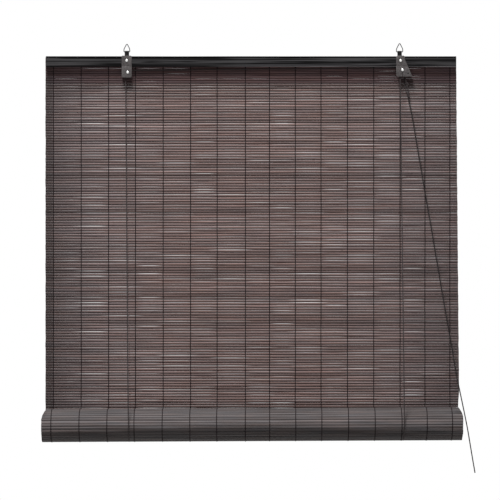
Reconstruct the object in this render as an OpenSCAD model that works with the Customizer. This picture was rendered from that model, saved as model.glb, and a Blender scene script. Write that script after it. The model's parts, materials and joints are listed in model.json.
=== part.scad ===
// Roll-up blind of dark bamboo slats, let half down and held there by its cords.
// Millimetres. X runs along the headrail, Y goes to the wall and Z goes up.
// The origin is midway between the two hooks, where they bear inside the wire loops.

/* [Blind] */
// Width of the headrail, the mat and the roll
blind_w = 800; // [500:10:1600]
// Length of the mat let right down, from the headrail's top
full_drop = 1600; // [1200:10:2400]
// From the headrail's top to the roll's axis
roll_drop = 712; // [400:1:1000]
// From the hooks down to the headrail's top
hang_h = 23; // [21:0.5:40]

/* [Headrail] */
// Height of the headrail
rail_h = 19; // [14:0.5:40]
// Depth of the headrail
rail_t = 9; // [8.5:0.5:20]
// Radius of the headrail's long edges
rail_round = 1.5; // [0.5:0.1:4]

/* [Slats] */
// Height of one slat and the gap below it
slat_pitch = 5.12; // [4:0.01:10]
// Flat face of a slat as a share of its pitch
slat_face_share = 0.68; // [0.5:0.01:0.75]
// Thickness of a slat
slat_t = 1.6; // [1:0.1:4]
// Thickness that is left in the groove between two slats
web_t = 0.8; // [0.4:0.1:0.9]
// Height of the gap between two slats
gap_h = 0.8; // [0.3:0.1:1.2]
// Most rows that have an open gap below them
gap_rows = 120; // [20:1:120]
// Closed strip at each side of the mat
edge_strip = 8; // [4:0.5:14]
// Rows of the hem that is folded back behind the top
hem_rows = 10; // [9:1:14]
// From the headrail's top down to the hem's fold
hem_set = 1.5; // [0.5:0.1:3]

/* [Yarns] */
// Number of yarn lines that bind the slats
yarn_count = 16; // [6:1:16]
// Width of a yarn line
yarn_w = 1.6; // [0.8:0.1:3]
// Thickness of a yarn on each face of the mat
yarn_t = 0.6; // [0.3:0.05:0.9]
// From the mat's side to the first yarn line
yarn_inset = 15.6; // [12:0.1:30]
// How far the middle lines stray to the right
yarn_drift = 8.7; // [0:0.1:10]

/* [Roll] */
// Diameter of the bottom rod at the middle of the roll
rod_d = 21; // [15:0.5:30]
// How far each end of the rod stops short of the slats
rod_short = 2; // [0:0.5:10]
// Share of the roll's outside that the yarn bands cover
band_share = 0.92; // [0.6:0.01:0.94]

/* [Cords] */
// Diameter of the lift cords and the pull cord
cord_d = 2; // [1.5:0.1:2.4]
// Diameter of a cord knot
knot_d = 4.4; // [3.5:0.1:5]
// Length of a cord knot
knot_h = 6; // [4:0.5:10]
// From the lock's lower edge down to the knot that joins the cords
join_drop = 40; // [25:1:60]
// From the lock's pulley axle to that knot, to the right
join_side = 12.6; // [8:0.1:16]
// How far the left lift cord leans to the right on its way down to the roll
left_lean = 8.4; // [0:0.1:12]
// How far the right lift cord leans to the right on its way down to the roll
right_lean = 4.6; // [0:0.1:12]

/* [Hangers] */
// From the mat's left side to the middle of the left hanger
left_inset = 158; // [120:1:200]
// From the mat's right side to the middle of the right hanger's loop
lock_inset = 113.3; // [90:0.1:150]
// Thickness of the hangers' sheet metal
sheet_t = 1.2; // [0.8:0.1:1.4]
// Width of a hanger's leaf
leaf_w = 19.4; // [18:0.1:24]
// Radius of a leaf's corners
leaf_round = 2.4; // [1:0.1:4]
// From the headrail's underside to the lower end of the left hanger's front leaf
left_leaf_below = 22.3; // [20:0.1:28]
// From the headrail's underside to the lower end of the back leaves
back_leaf_below = 20; // [18:0.1:24]
// Width of the neck that is folded round the wire
neck_w = 8.4; // [6:0.1:8.8]
// Clear width between the two sides of the neck
neck_gap = 1.3; // [1:0.1:1.5]
// Depth of the crease across the front leaves
crease_t = 0.4; // [0.2:0.05:0.6]
// Height of that crease
crease_h = 0.8; // [0.4:0.1:1.2]

/* [Wire loops] */
// Diameter of the wire
wire_d = 1.7; // [1.4:0.1:1.8]
// Width of a loop along its bar, on the wire's middle line
loop_w = 11.6; // [11.4:0.1:14]
// From the bar up to the hook, inside the loop, as a share of the hooks' height
loop_share = 0.65; // [0.55:0.01:0.66]
// Bend radius at the two ends of the bar, on the wire's middle line
loop_bend = 1; // [1:0.05:1.2]
// Bend radius at the top of a loop, on the wire's middle line
loop_top_bend = 1.6; // [1.3:0.1:2.5]

/* [Rivets] */
// Diameter of the rivets
rivet_d = 3; // [2:0.1:3.4]
// Diameter of a rivet's domed head
rivet_head_d = 6.3; // [5:0.1:7]
// Height of a domed head
rivet_head_h = 1.8; // [1:0.1:2.5]
// Diameter of a rivet's clenched end
rivet_tail_d = 5; // [4:0.1:6]
// Height of a clenched end
rivet_tail_h = 0.9; // [0.5:0.1:1.5]
// Height of the upper rivets as a share of the headrail's height
fix_share = 0.56; // [0.45:0.01:0.65]

/* [Pulleys] */
// From the headrail's underside to the left pulley's axle
left_axle_below = 12.2; // [10:0.1:13]
// From the middle of the left hanger to its pulley's axle
left_axle_side = 2; // [0:0.1:3]
// Diameter at the bottom of a groove
groove_d = 6; // [5:0.1:7]
// Diameter of a pulley's flanges
flange_d = 10; // [9:0.1:10.6]
// Width of a pulley's outer flange at its rim
rim_t = 0.7; // [0.5:0.1:0.9]
// Diameter of a pulley's hub
hub_d = 5.2; // [4.8:0.1:5.6]

/* [Cord lock] */
// From the headrail's underside to the lock's pulley axle
lock_axle_below = 7.4; // [7.2:0.1:9]
// From the right loop's middle to that axle, to the right
lock_axle_side = 5.1; // [4.5:0.1:6]
// From the right loop's middle to the leaf's left edge
lock_left = 7.1; // [6:0.1:9]
// From the right loop's middle to the leaf's right edge at the top
lock_right = 9.9; // [8.5:0.1:11]
// From the right loop's middle to the leaf's right edge at the bottom
lock_flare = 24.3; // [24:0.1:28]
// From the headrail's underside to the leaf's lower end
lock_leaf_below = 20.4; // [20:0.1:26]
// Height, as a share of the headrail's, where the right edge begins to flare
flare_share = 0.68; // [0.5:0.01:0.8]
// Width of the slit below the lock's axle
slit_w = 0.8; // [0.5:0.1:1.2]
// From the lock's pulley axle to the cam's pin, to the right
cam_side = 11; // [10.8:0.1:11.4]
// From the lock's pulley axle down to the cam's pin
cam_drop = 7.1; // [6.5:0.1:7.6]
// Diameter of the cam's pin
cam_pin_d = 2.4; // [2:0.1:2.8]
// Diameter of the collar that keeps the cam on its pin
cam_collar_d = 4.2; // [3.6:0.1:5]
// Reach of the cam's toothed nose from its pin
nose_r = 5.2; // [4.8:0.05:5.4]
// Reach of the cam's heavy tail from its pin
tail_r = 3.7; // [3.2:0.05:3.8]
// Depth of the cam's teeth
tooth_h = 0.5; // [0.3:0.05:0.8]
// Width of the cam across the cords
cam_w = 6.6; // [6:0.1:7]

/* [Staples] */
// Width of a staple
staple_w = 10; // [6:0.5:14]
// Thickness of a staple's wire
staple_wire = 0.7; // [0.4:0.05:1]
// How far a staple's legs go into the headrail
staple_bite = 5; // [3:0.5:7]

/* [Fits] */
// Radial room round a turning pin
run_fit = 0.08; // [0.05:0.01:0.1]
// Radial room round a fixed rivet
fixed_fit = 0.1; // [0.05:0.01:0.2]
// Room between pieces that pass each other
pass_gap = 0.3; // [0.3:0.05:0.4]
// Room between pieces that just meet
meet_gap = 0.05; // [0.02:0.01:0.1]
// How far cutters reach past the faces that they open
overrun = 1; // [0.5:0.1:3]

/* [Hidden] */
// Sides of round faces
$fn = 48;
// Sides of a cord
cord_sides = 8;
// Sides of the bent part of the wire, and its size as a share of the bar's
wire_sides = 12;
wire_share = 0.96;
// Angle between two points on a domed head
dome_step = 15;
// Angle between two rings where a cord bends round a pulley
wrap_step = 22.5;
// Angle between two points on the cam's outline
cam_step = 5;
// Half the angle that the cam's nose takes up
nose_half = 38;
// Points on one rounded corner
corner_points = 6;

// Headrail's top and underside
rail_top = -hang_h;
rail_bottom = rail_top - rail_h;

// Depth of all that the hangers' leaves hold between them
hem_gap = 2 * yarn_t;
clamp_t = rail_t + yarn_t + slat_t + hem_gap + slat_t + yarn_t;
leaf_in = clamp_t / 2;
leaf_out = leaf_in + sheet_t;

// Faces of the headrail, the mat and the hem, from the room to the wall
rail_front = -leaf_in;
rail_back = rail_front + rail_t;
mat_front = rail_back + yarn_t;
mat_back = mat_front + slat_t;
mat_mid = mat_front + slat_t / 2;
hem_inner = mat_back + hem_gap;
hem_mid = hem_inner + slat_t / 2;
hem_back = hem_inner + slat_t;

// Hem and hung mat
hem_top = rail_top - hem_set;
hem_bottom = hem_top - hem_rows * slat_pitch;
roll_z = rail_top - roll_drop;
hung_h = hem_bottom - roll_z;
hung_rows = round(hung_h / slat_pitch);
hung_pitch = hung_h / hung_rows;
slot_w = blind_w - 2 * edge_strip;

// Roll of the mat's lower part, wound round its rod from the back, down and forward
layer_t = slat_t + 2 * yarn_t;
wound_l = full_drop - roll_drop;
wound_rows = round(wound_l / slat_pitch);
core_r = rod_d / 2 + pass_gap + slat_t / 2;
roll_mid_r = sqrt(core_r * core_r + layer_t * wound_rows * slat_pitch / PI);
roll_r = roll_mid_r + slat_t / 2;
roll_y = mat_back - roll_r;

// Yarn lines
yarn_span = blind_w - 2 * yarn_inset;
yarn_gaps = yarn_count - 1;

// Cords
cord_r = cord_d / 2;
bight_r = roll_r + yarn_t + pass_gap + cord_r;
wrap_r = groove_d / 2 + pass_gap + cord_r;
groove_w = cord_d + 2 * pass_gap;
groove_pitch = groove_w + rim_t;

// Left hanger
left_x = left_inset - blind_w / 2;
left_axle_x = left_x + left_axle_side;
left_axle_z = rail_bottom - left_axle_below;
left_leaf_end = rail_bottom - left_leaf_below;
left_cord_x = left_axle_x - wrap_r;

// Right hanger with the cord lock
lock_x = blind_w / 2 - lock_inset;
lock_axle_x = lock_x + lock_axle_side;
lock_axle_z = rail_bottom - lock_axle_below;
lock_leaf_end = rail_bottom - lock_leaf_below;
lock_mid_x = lock_x + (lock_right - lock_left) / 2;
lock_cord_x = lock_axle_x - wrap_r;
flare_z = rail_bottom + rail_h * flare_share;
cam_x = lock_axle_x + cam_side;
cam_z = lock_axle_z - cam_drop;

// Depth at which the pulleys, the cam and the cords work
work_y = (rail_front + rail_back) / 2;
front_cord_y = work_y - groove_pitch / 2;
rear_cord_y = work_y + groove_pitch / 2;
hub_w = rail_t - 2 * pass_gap;

// Rivets
fix_z = rail_bottom + rail_h * fix_share;
rivet_l = clamp_t + 2 * sheet_t;

// Wire loops
wire_r = wire_d / 2;
curl_in = wire_r + run_fit;
curl_out = curl_in + sheet_t;
bar_z = -hang_h * loop_share + wire_r;
loop_top = wire_r - bar_z;
neck_half = neck_gap / 2 + sheet_t;

// Triangle whose rounded form is the loop: its half width, height and half angle at the top
tri_b = loop_w / 2;
tri_c = loop_top - loop_top_bend;
tri_k = tri_b * tri_b - loop_top_bend * loop_top_bend;
tri_m = tri_c * tri_c - loop_top_bend * loop_top_bend;
tri_h = (tri_c * tri_b * tri_b + sqrt(pow(tri_c * tri_b * tri_b, 2) - tri_k * tri_m * tri_b * tri_b)) / tri_k;
tri_half = atan(tri_b / tri_h);
base_half = (90 - tri_half) / 2;
base_run = loop_bend / tan(base_half);

// Cord knots behind the back leaves, and the knot that joins the two cords below the lock
back_leaf_end = rail_bottom - back_leaf_below;
knot_y = leaf_out + knot_d / 2;
knot_z = back_leaf_end + knot_h;
join_x = lock_axle_x + join_side;
join_z = lock_leaf_end - join_drop;

// Pull cord's route below that knot: how far to the side, and how far down to the roll's axis
side_run = blind_w / 2 - join_x;
down_run = join_z - roll_z;
// How far the pull cord comes forward on its way
forward_run = 3 * cord_d;
pull_shares = [
    [0, 0], [0, 0.008], [0.03, 0.024], [0.07, 0.055], [0.115, 0.095], [0.18, 0.155], [0.25, 0.215],
    [0.32, 0.28], [0.39, 0.34], [0.46, 0.4], [0.53, 0.465], [0.6, 0.525], [0.67, 0.59], [0.74, 0.65],
    [0.81, 0.71], [0.88, 0.77], [0.95, 0.835], [1.03, 0.895], [1.12, 0.96], [1.18, 1.005],
    [1.235, 1.055], [1.29, 1.105], [1.335, 1.144]
];

// Parts of the blind

function yarn_x(i) = yarn_span * (i / yarn_gaps - 1 / 2) + yarn_drift * sin(180 * i / yarn_gaps);

// Angle wound, from the back and down, after a length of mat
function wound_angle(s) = 360 * (roll_mid_r - sqrt(roll_mid_r * roll_mid_r - layer_t * s / PI)) / layer_t;
function row_angle(i) = wound_angle((i + 1 / 2) * slat_pitch);
function row_r(i) = roll_mid_r - layer_t * row_angle(i) / 360;

// Point at an angle and radius round the roll's axis, and one beside it along the turn
function wound_at(a, r, side) = [
    roll_y + r * cos(a) - side * sin(a),
    roll_z - r * sin(a) - side * cos(a)
];

// Point where the planes of two neighbouring rows meet, at some height above their middles
function rows_meet(i, h) =
    let (a = row_angle(i), b = row_angle(i + 1), p = row_r(i) + h, q = row_r(i + 1) + h, d = sin(a - b))
    [roll_y + (q * sin(a) - p * sin(b)) / d, roll_z + (q * cos(a) - p * cos(b)) / d];

function face_half(pitch) = pitch * slat_face_share / 2;

// Ridged face of a stack of rows, from the top down
function ridges(z, rows, pitch, mid, side) = [
    for (i = [0 : rows - 1])
        for (p = [
            [mid + side * web_t / 2, z - i * pitch],
            [mid + side * slat_t / 2, z - (i + 1 / 2) * pitch + face_half(pitch)],
            [mid + side * slat_t / 2, z - (i + 1 / 2) * pitch - face_half(pitch)]
        ]) p
];

function turned(list) = [for (i = [len(list) - 1 : -1 : 0]) list[i]];

// Rectangle with rounded corners, about its middle
function rounded(w, h, r) = [
    for (c = [[1, 1, 0], [-1, 1, 90], [-1, -1, 180], [1, -1, 270]])
        for (k = [0 : corner_points])
            [
                c[0] * (w / 2 - r) + r * cos(c[2] + 90 * k / corner_points),
                c[1] * (h / 2 - r) + r * sin(c[2] + 90 * k / corner_points)
            ]
];

// Points of a cord round a pulley, from one angle to another
function wrap(x, y, z, a, b) = [
    for (t = [a : sign(b - a) * wrap_step : b]) [x + wrap_r * cos(t), y, z + wrap_r * sin(t)]
];

function unit(v) = v / norm(v);
function heading(route, i) = unit(route[min(i + 1, len(route) - 1)] - route[max(i - 1, 0)]);

// Profile in Y and Z, drawn out along X about the middle
module along_x(l) {
    rotate([90, 0, 90])
        linear_extrude(height = l, center = true)
            children();
}

// Profile in X and Z, drawn out along Y between two depths
module along_y(near, far) {
    translate([0, far, 0])
        rotate([90, 0, 0])
            linear_extrude(height = far - near)
                children();
}

// Round bar along Y between two depths
module bar_y(x, z, r, near, far) {
    translate([x, far, z])
        rotate([90, 0, 0])
            cylinder(h = far - near, r = r);
}

// Straight cord from one point to another
module straight_cord(a, b) {
    d = b - a;
    translate(a)
        rotate([0, acos(d[2] / norm(d)), atan2(d[1], d[0])])
            cylinder(h = norm(d), r = cord_r);
}

// Round bar or cord along a route
module swept(route, r, sides) {
    n = len(route);
    points = [
        for (i = [0 : n - 1])
            let (t = heading(route, i), u = unit(cross([0, 1, 0], t)), v = cross(t, u))
            for (k = [0 : sides - 1])
                route[i] + r * (cos(360 * k / sides) * u + sin(360 * k / sides) * v)
    ];
    walls = [
        for (i = [0 : n - 2])
            for (k = [0 : sides - 1])
                let (a = i * sides + k, b = i * sides + (k + 1) % sides)
                for (f = [[a, a + sides, b], [b, a + sides, b + sides]]) f
    ];
    near_end = [for (k = [0 : sides - 1]) k];
    far_end = [for (k = [sides - 1 : -1 : 0]) (n - 1) * sides + k];
    polyhedron(points = points, faces = concat(walls, [near_end, far_end]));
}

// Cord along a route
module routed_cord(route) {
    swept(route, cord_r, cord_sides);
}

// Knot, standing, about its middle
module knot() {
    rotate_extrude()
        polygon([
            [0, -knot_h / 2],
            [knot_d / 3, -knot_h / 2],
            [knot_d / 2, -knot_h / 5],
            [knot_d / 2, knot_h / 5],
            [knot_d / 3, knot_h / 2],
            [0, knot_h / 2]
        ]);
}

// Rivet with its domed head on the front leaf and its clenched end behind the back leaf
module rivet(x, z) {
    translate([x, leaf_out, z])
        rotate([90, 0, 0])
            rotate_extrude()
                polygon(concat(
                    [
                        [0, -rivet_tail_h],
                        [rivet_tail_d / 2, -rivet_tail_h],
                        [rivet_tail_d / 2, 0],
                        [rivet_d / 2, 0],
                        [rivet_d / 2, rivet_l],
                        [rivet_head_d / 2, rivet_l]
                    ],
                    [
                        for (a = [dome_step : dome_step : 90 - dome_step])
                            [rivet_head_d / 2 * cos(a), rivet_l + rivet_head_h * sin(a)]
                    ],
                    [[0, rivet_l + rivet_head_h]]
                ));
}

module rivet_hole(x, z) {
    bar_y(x, z, rivet_d / 2 + fixed_fit, -leaf_out - overrun, leaf_out + overrun);
}

module rivet_holes() {
    rivet_hole(left_x, fix_z);
    rivet_hole(left_axle_x, left_axle_z);
    rivet_hole(lock_mid_x, fix_z);
    rivet_hole(lock_axle_x, lock_axle_z);
}

module headrail() {
    color([0.13, 0.12, 0.12])
        difference() {
            translate([0, (rail_front + rail_back) / 2, rail_top - rail_h / 2])
                along_x(blind_w)
                    polygon(rounded(rail_t, rail_h, rail_round));
            rivet_hole(left_x, fix_z);
            rivet_hole(lock_mid_x, fix_z);
        }
}

module top_hem() {
    color([0.22, 0.17, 0.16])
        difference() {
            along_x(blind_w)
                polygon(concat(
                    ridges(hem_top, hem_rows, slat_pitch, mat_mid, -1),
                    [
                        [mat_mid - web_t / 2, hem_bottom],
                        [mat_mid + web_t / 2, hem_bottom],
                        [mat_back, hem_bottom + slat_t / 2],
                        [mat_back, hem_top - slat_t],
                        [hem_inner, hem_top - slat_t],
                        [hem_inner, hem_bottom + slat_t / 2],
                        [hem_mid - web_t / 2, hem_bottom],
                        [hem_mid + web_t / 2, hem_bottom]
                    ],
                    turned(ridges(hem_top, hem_rows, slat_pitch, hem_mid, 1))
                ));
            rivet_holes();
        }
}

// Yarn lines on one face, between two heights
module yarn_lines(near, top, bottom) {
    for (i = [0 : yarn_gaps])
        translate([yarn_x(i) - yarn_w / 2, near, bottom])
            cube([yarn_w, yarn_t, top - bottom]);
}

module hem_yarns() {
    color([0.1, 0.08, 0.08]) {
        yarn_lines(mat_front - yarn_t, hem_top - slat_pitch / 2, hem_bottom);
        yarn_lines(hem_back, hem_top - slat_pitch / 2, hem_bottom + slat_pitch / 2);
    }
}

module hung_slats() {
    color([0.27, 0.21, 0.19])
        difference() {
            along_x(blind_w)
                polygon(concat(
                    ridges(hem_bottom, hung_rows, hung_pitch, mat_mid, -1),
                    [[mat_mid - web_t / 2, roll_z], [mat_mid + web_t / 2, roll_z]],
                    turned(ridges(hem_bottom, hung_rows, hung_pitch, mat_mid, 1))
                ));
            for (i = [1 : min(gap_rows, hung_rows - 1)])
                translate([-slot_w / 2, mat_front - overrun, hem_bottom - i * hung_pitch - gap_h / 2])
                    cube([slot_w, slat_t + 2 * overrun, gap_h]);
        }
}

module hung_yarns() {
    color([0.1, 0.08, 0.08]) {
        yarn_lines(mat_front - yarn_t, hem_bottom, roll_z + pass_gap);
        yarn_lines(mat_back, hem_bottom, roll_z + pass_gap);
    }
}

module staple(x) {
    translate([x - staple_w / 2, hem_back, fix_z])
        cube([staple_w, staple_wire, staple_wire]);
    for (s = [0, staple_w - staple_wire])
        translate([x - staple_w / 2 + s, rail_back - staple_bite, fix_z])
            cube([staple_wire, hem_back - rail_back + staple_bite, staple_wire]);
}

module staples() {
    color([0.7, 0.7, 0.7])
        for (i = [0 : yarn_gaps - 1])
            if (i == 0 || i == yarn_gaps - 1 || i % 2 == 1)
                staple((yarn_x(i) + yarn_x(i + 1)) / 2);
}

// Neck of a hanger, folded round the wire and spread over the headrail's top
module neck(x) {
    translate([x, 0, 0])
        difference() {
            union() {
                along_x(neck_w)
                    polygon(concat(
                        [
                            for (k = [0 : 2 * corner_points])
                                [
                                    curl_out * cos(90 * k / corner_points),
                                    bar_z + curl_out * sin(90 * k / corner_points)
                                ]
                        ],
                        [
                            [-neck_half, bar_z - curl_out],
                            [-neck_half, rail_top],
                            [neck_half, rail_top],
                            [neck_half, bar_z - curl_out]
                        ]
                    ));
                translate([-neck_w / 2, -leaf_out, rail_top])
                    cube([neck_w, 2 * leaf_out, sheet_t]);
            }
            rotate([0, 90, 0])
                translate([-bar_z, 0, 0])
                    cylinder(h = neck_w + 2 * overrun, r = curl_in, center = true);
            translate([-neck_w / 2 - overrun, -neck_gap / 2, rail_top - overrun])
                cube([neck_w + 2 * overrun, neck_gap, bar_z - rail_top + overrun]);
        }
}

// Crease across a front leaf, just below the headrail
module crease(from, to) {
    translate([from - overrun, -leaf_out - overrun, rail_bottom - crease_h])
        cube([to - from + 2 * overrun, crease_t + overrun, crease_h]);
}

module left_hanger() {
    edge = left_x - leaf_w / 2;
    leaf_top = rail_top + sheet_t;
    color([0.42, 0.4, 0.39])
        difference() {
            union() {
                neck(left_x);
                along_y(-leaf_out, -leaf_in)
                    translate([left_x, (leaf_top + left_leaf_end) / 2])
                        polygon(rounded(leaf_w, leaf_top - left_leaf_end, leaf_round));
                along_y(leaf_in, leaf_out)
                    translate([left_x, (leaf_top + back_leaf_end) / 2])
                        polygon(rounded(leaf_w, leaf_top - back_leaf_end, leaf_round));
                translate([edge, -leaf_out, left_leaf_end + leaf_round])
                    cube([sheet_t, sheet_t + rail_t - pass_gap, left_leaf_below - leaf_round - pass_gap]);
            }
            crease(edge, edge + leaf_w);
            rivet_hole(left_x, fix_z);
            rivet_hole(left_axle_x, left_axle_z);
        }
}

module lock_hanger() {
    edge = lock_x - lock_left;
    leaf_top = rail_top + sheet_t;
    mid_w = lock_left + lock_right;
    slope = (lock_flare - lock_right) / (flare_z - lock_leaf_end);
    wall_x = sheet_t * sqrt(1 + slope * slope);
    wall_top = rail_bottom - pass_gap;
    wall_right = lock_x + lock_right + slope * (flare_z - wall_top);
    color([0.42, 0.4, 0.39])
        difference() {
            union() {
                neck(lock_x);
                along_y(-leaf_out, -leaf_in)
                    polygon([
                        [edge + leaf_round, leaf_top],
                        [lock_x + lock_right - leaf_round, leaf_top],
                        [lock_x + lock_right, leaf_top - leaf_round],
                        [lock_x + lock_right, flare_z],
                        [lock_x + lock_flare, lock_leaf_end],
                        [edge + leaf_round, lock_leaf_end],
                        [edge, lock_leaf_end + leaf_round],
                        [edge, leaf_top - leaf_round]
                    ]);
                along_y(leaf_in, leaf_out)
                    translate([lock_mid_x, (leaf_top + back_leaf_end) / 2])
                        polygon(rounded(mid_w, leaf_top - back_leaf_end, leaf_round));
                along_y(-leaf_out, rail_back - pass_gap)
                    polygon([
                        [wall_right - wall_x, wall_top],
                        [wall_right, wall_top],
                        [lock_x + lock_flare, lock_leaf_end],
                        [lock_x + lock_flare - wall_x, lock_leaf_end]
                    ]);
            }
            crease(edge, wall_right);
            rivet_hole(lock_mid_x, fix_z);
            rivet_hole(lock_axle_x, lock_axle_z);
            bar_y(cam_x, cam_z, cam_pin_d / 2 + fixed_fit, -leaf_out - overrun, -leaf_in + overrun);
            translate([lock_axle_x - slit_w / 2, -leaf_out - overrun, lock_leaf_end - overrun])
                cube([slit_w, sheet_t + 2 * overrun, lock_axle_z - rivet_head_d / 2 - lock_leaf_end + overrun]);
        }
}

// Middle line of the wire from one end of its bar, up over the top and down to the other end
function bend_route(x, z, r, from, to) = [
    for (k = [0 : corner_points])
        let (a = from + (to - from) * k / corner_points)
        [x + r * cos(a), 0, z + r * sin(a)]
];

module wire_loop(x) {
    bend_x = tri_b - base_run;
    bend_z = bar_z + loop_bend;
    top_z = bar_z + tri_h - loop_top_bend / sin(tri_half);
    color([0.35, 0.35, 0.36])
        translate([x, 0, 0]) {
            translate([-bend_x, 0, bar_z])
                rotate([0, 90, 0])
                    cylinder(h = 2 * bend_x, r = wire_r);
            swept(
                concat(
                    [[bend_x - wire_r, 0, bar_z]],
                    bend_route(bend_x, bend_z, loop_bend, -90, tri_half),
                    bend_route(0, top_z, loop_top_bend, tri_half, 180 - tri_half),
                    bend_route(-bend_x, bend_z, loop_bend, 180 - tri_half, 270),
                    [[wire_r - bend_x, 0, bar_z]]
                ),
                wire_r * wire_share,
                wire_sides
            );
        }
}

module left_loop() {
    wire_loop(left_x);
}

module lock_loop() {
    wire_loop(lock_x);
}

module left_fixing_rivet() {
    color([0.75, 0.74, 0.72])
        rivet(left_x, fix_z);
}

module lock_fixing_rivet() {
    color([0.75, 0.74, 0.72])
        rivet(lock_mid_x, fix_z);
}

module left_axle() {
    color([0.75, 0.74, 0.72])
        rivet(left_axle_x, left_axle_z);
}

module lock_axle() {
    color([0.75, 0.74, 0.72])
        rivet(lock_axle_x, lock_axle_z);
}

// Pulley with one or two grooves, about its middle, with its axle along Y
module pulley(grooves) {
    w = grooves * groove_w + (grooves + 1) * rim_t;
    bore_r = rivet_d / 2 + run_fit;
    color([0.16, 0.15, 0.15])
        rotate([90, 0, 0])
            rotate_extrude()
                polygon(concat(
                    [
                        [bore_r, hub_w / 2],
                        [bore_r, -hub_w / 2],
                        [hub_d / 2, -hub_w / 2],
                        [hub_d / 2, -w / 2]
                    ],
                    [
                        for (g = [0 : grooves - 1])
                            for (p = [
                                [flange_d / 2, -w / 2 + g * groove_pitch],
                                [flange_d / 2, -w / 2 + g * groove_pitch + rim_t / 2],
                                [groove_d / 2, -w / 2 + g * groove_pitch + rim_t],
                                [groove_d / 2, -w / 2 + (g + 1) * groove_pitch]
                            ]) p
                    ],
                    [
                        [flange_d / 2, w / 2 - rim_t / 2],
                        [flange_d / 2, w / 2],
                        [hub_d / 2, w / 2],
                        [hub_d / 2, hub_w / 2]
                    ]
                ));
}

module left_pulley() {
    translate([left_axle_x, work_y, left_axle_z])
        pulley(1);
}

module lock_pulley() {
    translate([lock_axle_x, work_y, lock_axle_z])
        pulley(2);
}

// Reach of the cam at an angle: a toothed nose to the left and a heavy tail to the right
function cam_reach(a) =
    abs(a - 180) > nose_half ? tail_r : nose_r - (round(a / cam_step) % 2) * tooth_h;

module lock_cam() {
    color([0.66, 0.54, 0.3])
        difference() {
            along_y(work_y - cam_w / 2, work_y + cam_w / 2)
                translate([cam_x, cam_z])
                    polygon([
                        for (a = [0 : cam_step : 360 - cam_step]) [cam_reach(a) * cos(a), cam_reach(a) * sin(a)]
                    ]);
            bar_y(cam_x, cam_z, cam_pin_d / 2 + run_fit, work_y - cam_w, work_y + cam_w);
        }
}

module lock_cam_pin() {
    color([0.5, 0.48, 0.46]) {
        bar_y(cam_x, cam_z, cam_pin_d / 2, -leaf_out, work_y + cam_w / 2 + pass_gap);
        bar_y(cam_x, cam_z, cam_collar_d / 2, work_y + cam_w / 2 + pass_gap, rail_back - pass_gap / 2);
    }
}

module rolled_slats() {
    half = face_half(slat_pitch);
    last = wound_rows - 1;
    outer = [
        for (i = [0 : last])
            for (p = [
                wound_at(wound_angle(i * slat_pitch), row_r(i) + web_t / 2, 0),
                wound_at(row_angle(i), row_r(i) + slat_t / 2, -half),
                wound_at(row_angle(i), row_r(i) + slat_t / 2, half)
            ]) p
    ];
    inner = [for (i = [last - 1 : -1 : 0]) rows_meet(i, -slat_t / 2)];
    end_angle = wound_angle(wound_rows * slat_pitch);
    color([0.27, 0.21, 0.19])
        along_x(blind_w)
            polygon(concat(
                outer,
                [
                    wound_at(end_angle, row_r(last) + web_t / 2, 0),
                    wound_at(end_angle, row_r(last) - slat_t / 2, 0)
                ],
                inner,
                [wound_at(row_angle(0), row_r(0) - slat_t / 2, -half), wound_at(0, roll_mid_r - web_t / 2, 0)]
            ));
}

module roll_yarns() {
    last = len([for (i = [0 : wound_rows - 1]) if (row_angle(i) < 360 * band_share) i]) - 1;
    half = face_half(slat_pitch);
    low = slat_t / 2;
    high = slat_t / 2 + yarn_t;
    color([0.1, 0.08, 0.08])
        for (k = [0 : yarn_gaps])
            translate([yarn_x(k), 0, 0])
                along_x(yarn_w)
                    polygon(concat(
                        [wound_at(row_angle(0), row_r(0) + low, -half)],
                        [for (i = [0 : last - 1]) rows_meet(i, low)],
                        [
                            wound_at(row_angle(last), row_r(last) + low, half),
                            wound_at(row_angle(last), row_r(last) + high, half)
                        ],
                        [for (i = [last - 1 : -1 : 0]) rows_meet(i, high)],
                        [wound_at(row_angle(0), row_r(0) + high, -half)]
                    ));
}

module bottom_rod() {
    color([0.2, 0.15, 0.13])
        translate([0, roll_y, roll_z])
            rotate([0, 90, 0])
                cylinder(h = blind_w - 2 * rod_short, d = rod_d, center = true);
}

// Cord under the roll, from behind it to the front of it
module bight(x) {
    color([0.15, 0.13, 0.13])
        translate([x, roll_y, roll_z])
            rotate([90, 0, 90])
                rotate([0, 0, 180])
                    rotate_extrude(angle = 180)
                        translate([bight_r, 0])
                            circle(r = cord_r);
}

module left_bight() {
    bight(left_cord_x + left_lean);
}

module right_bight() {
    bight(lock_cord_x + right_lean);
}

// Cord from a pulley down to the front of the roll
module front_cord(x, y, z, lean) {
    color([0.15, 0.13, 0.13])
        straight_cord([x, y, z - pass_gap], [x + lean, roll_y - bight_r, roll_z + pass_gap]);
}

// Cord from its knot behind a hanger down to the back of the roll
module back_cord(x, lean) {
    color([0.15, 0.13, 0.13])
        straight_cord(
            [x, knot_y, knot_z - knot_h / 2 - meet_gap],
            [x + lean, roll_y + bight_r, roll_z + meet_gap]
        );
}

module left_front_cord() {
    front_cord(left_cord_x, work_y, left_axle_z, left_lean);
}

module right_front_cord() {
    front_cord(lock_cord_x, front_cord_y, lock_axle_z, right_lean);
}

module left_back_cord() {
    back_cord(left_cord_x, left_lean);
}

module right_back_cord() {
    back_cord(lock_cord_x, right_lean);
}

module left_knot() {
    color([0.15, 0.13, 0.13])
        translate([left_cord_x, knot_y, knot_z])
            knot();
}

module right_knot() {
    color([0.15, 0.13, 0.13])
        translate([lock_cord_x, knot_y, knot_z])
            knot();
}

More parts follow.
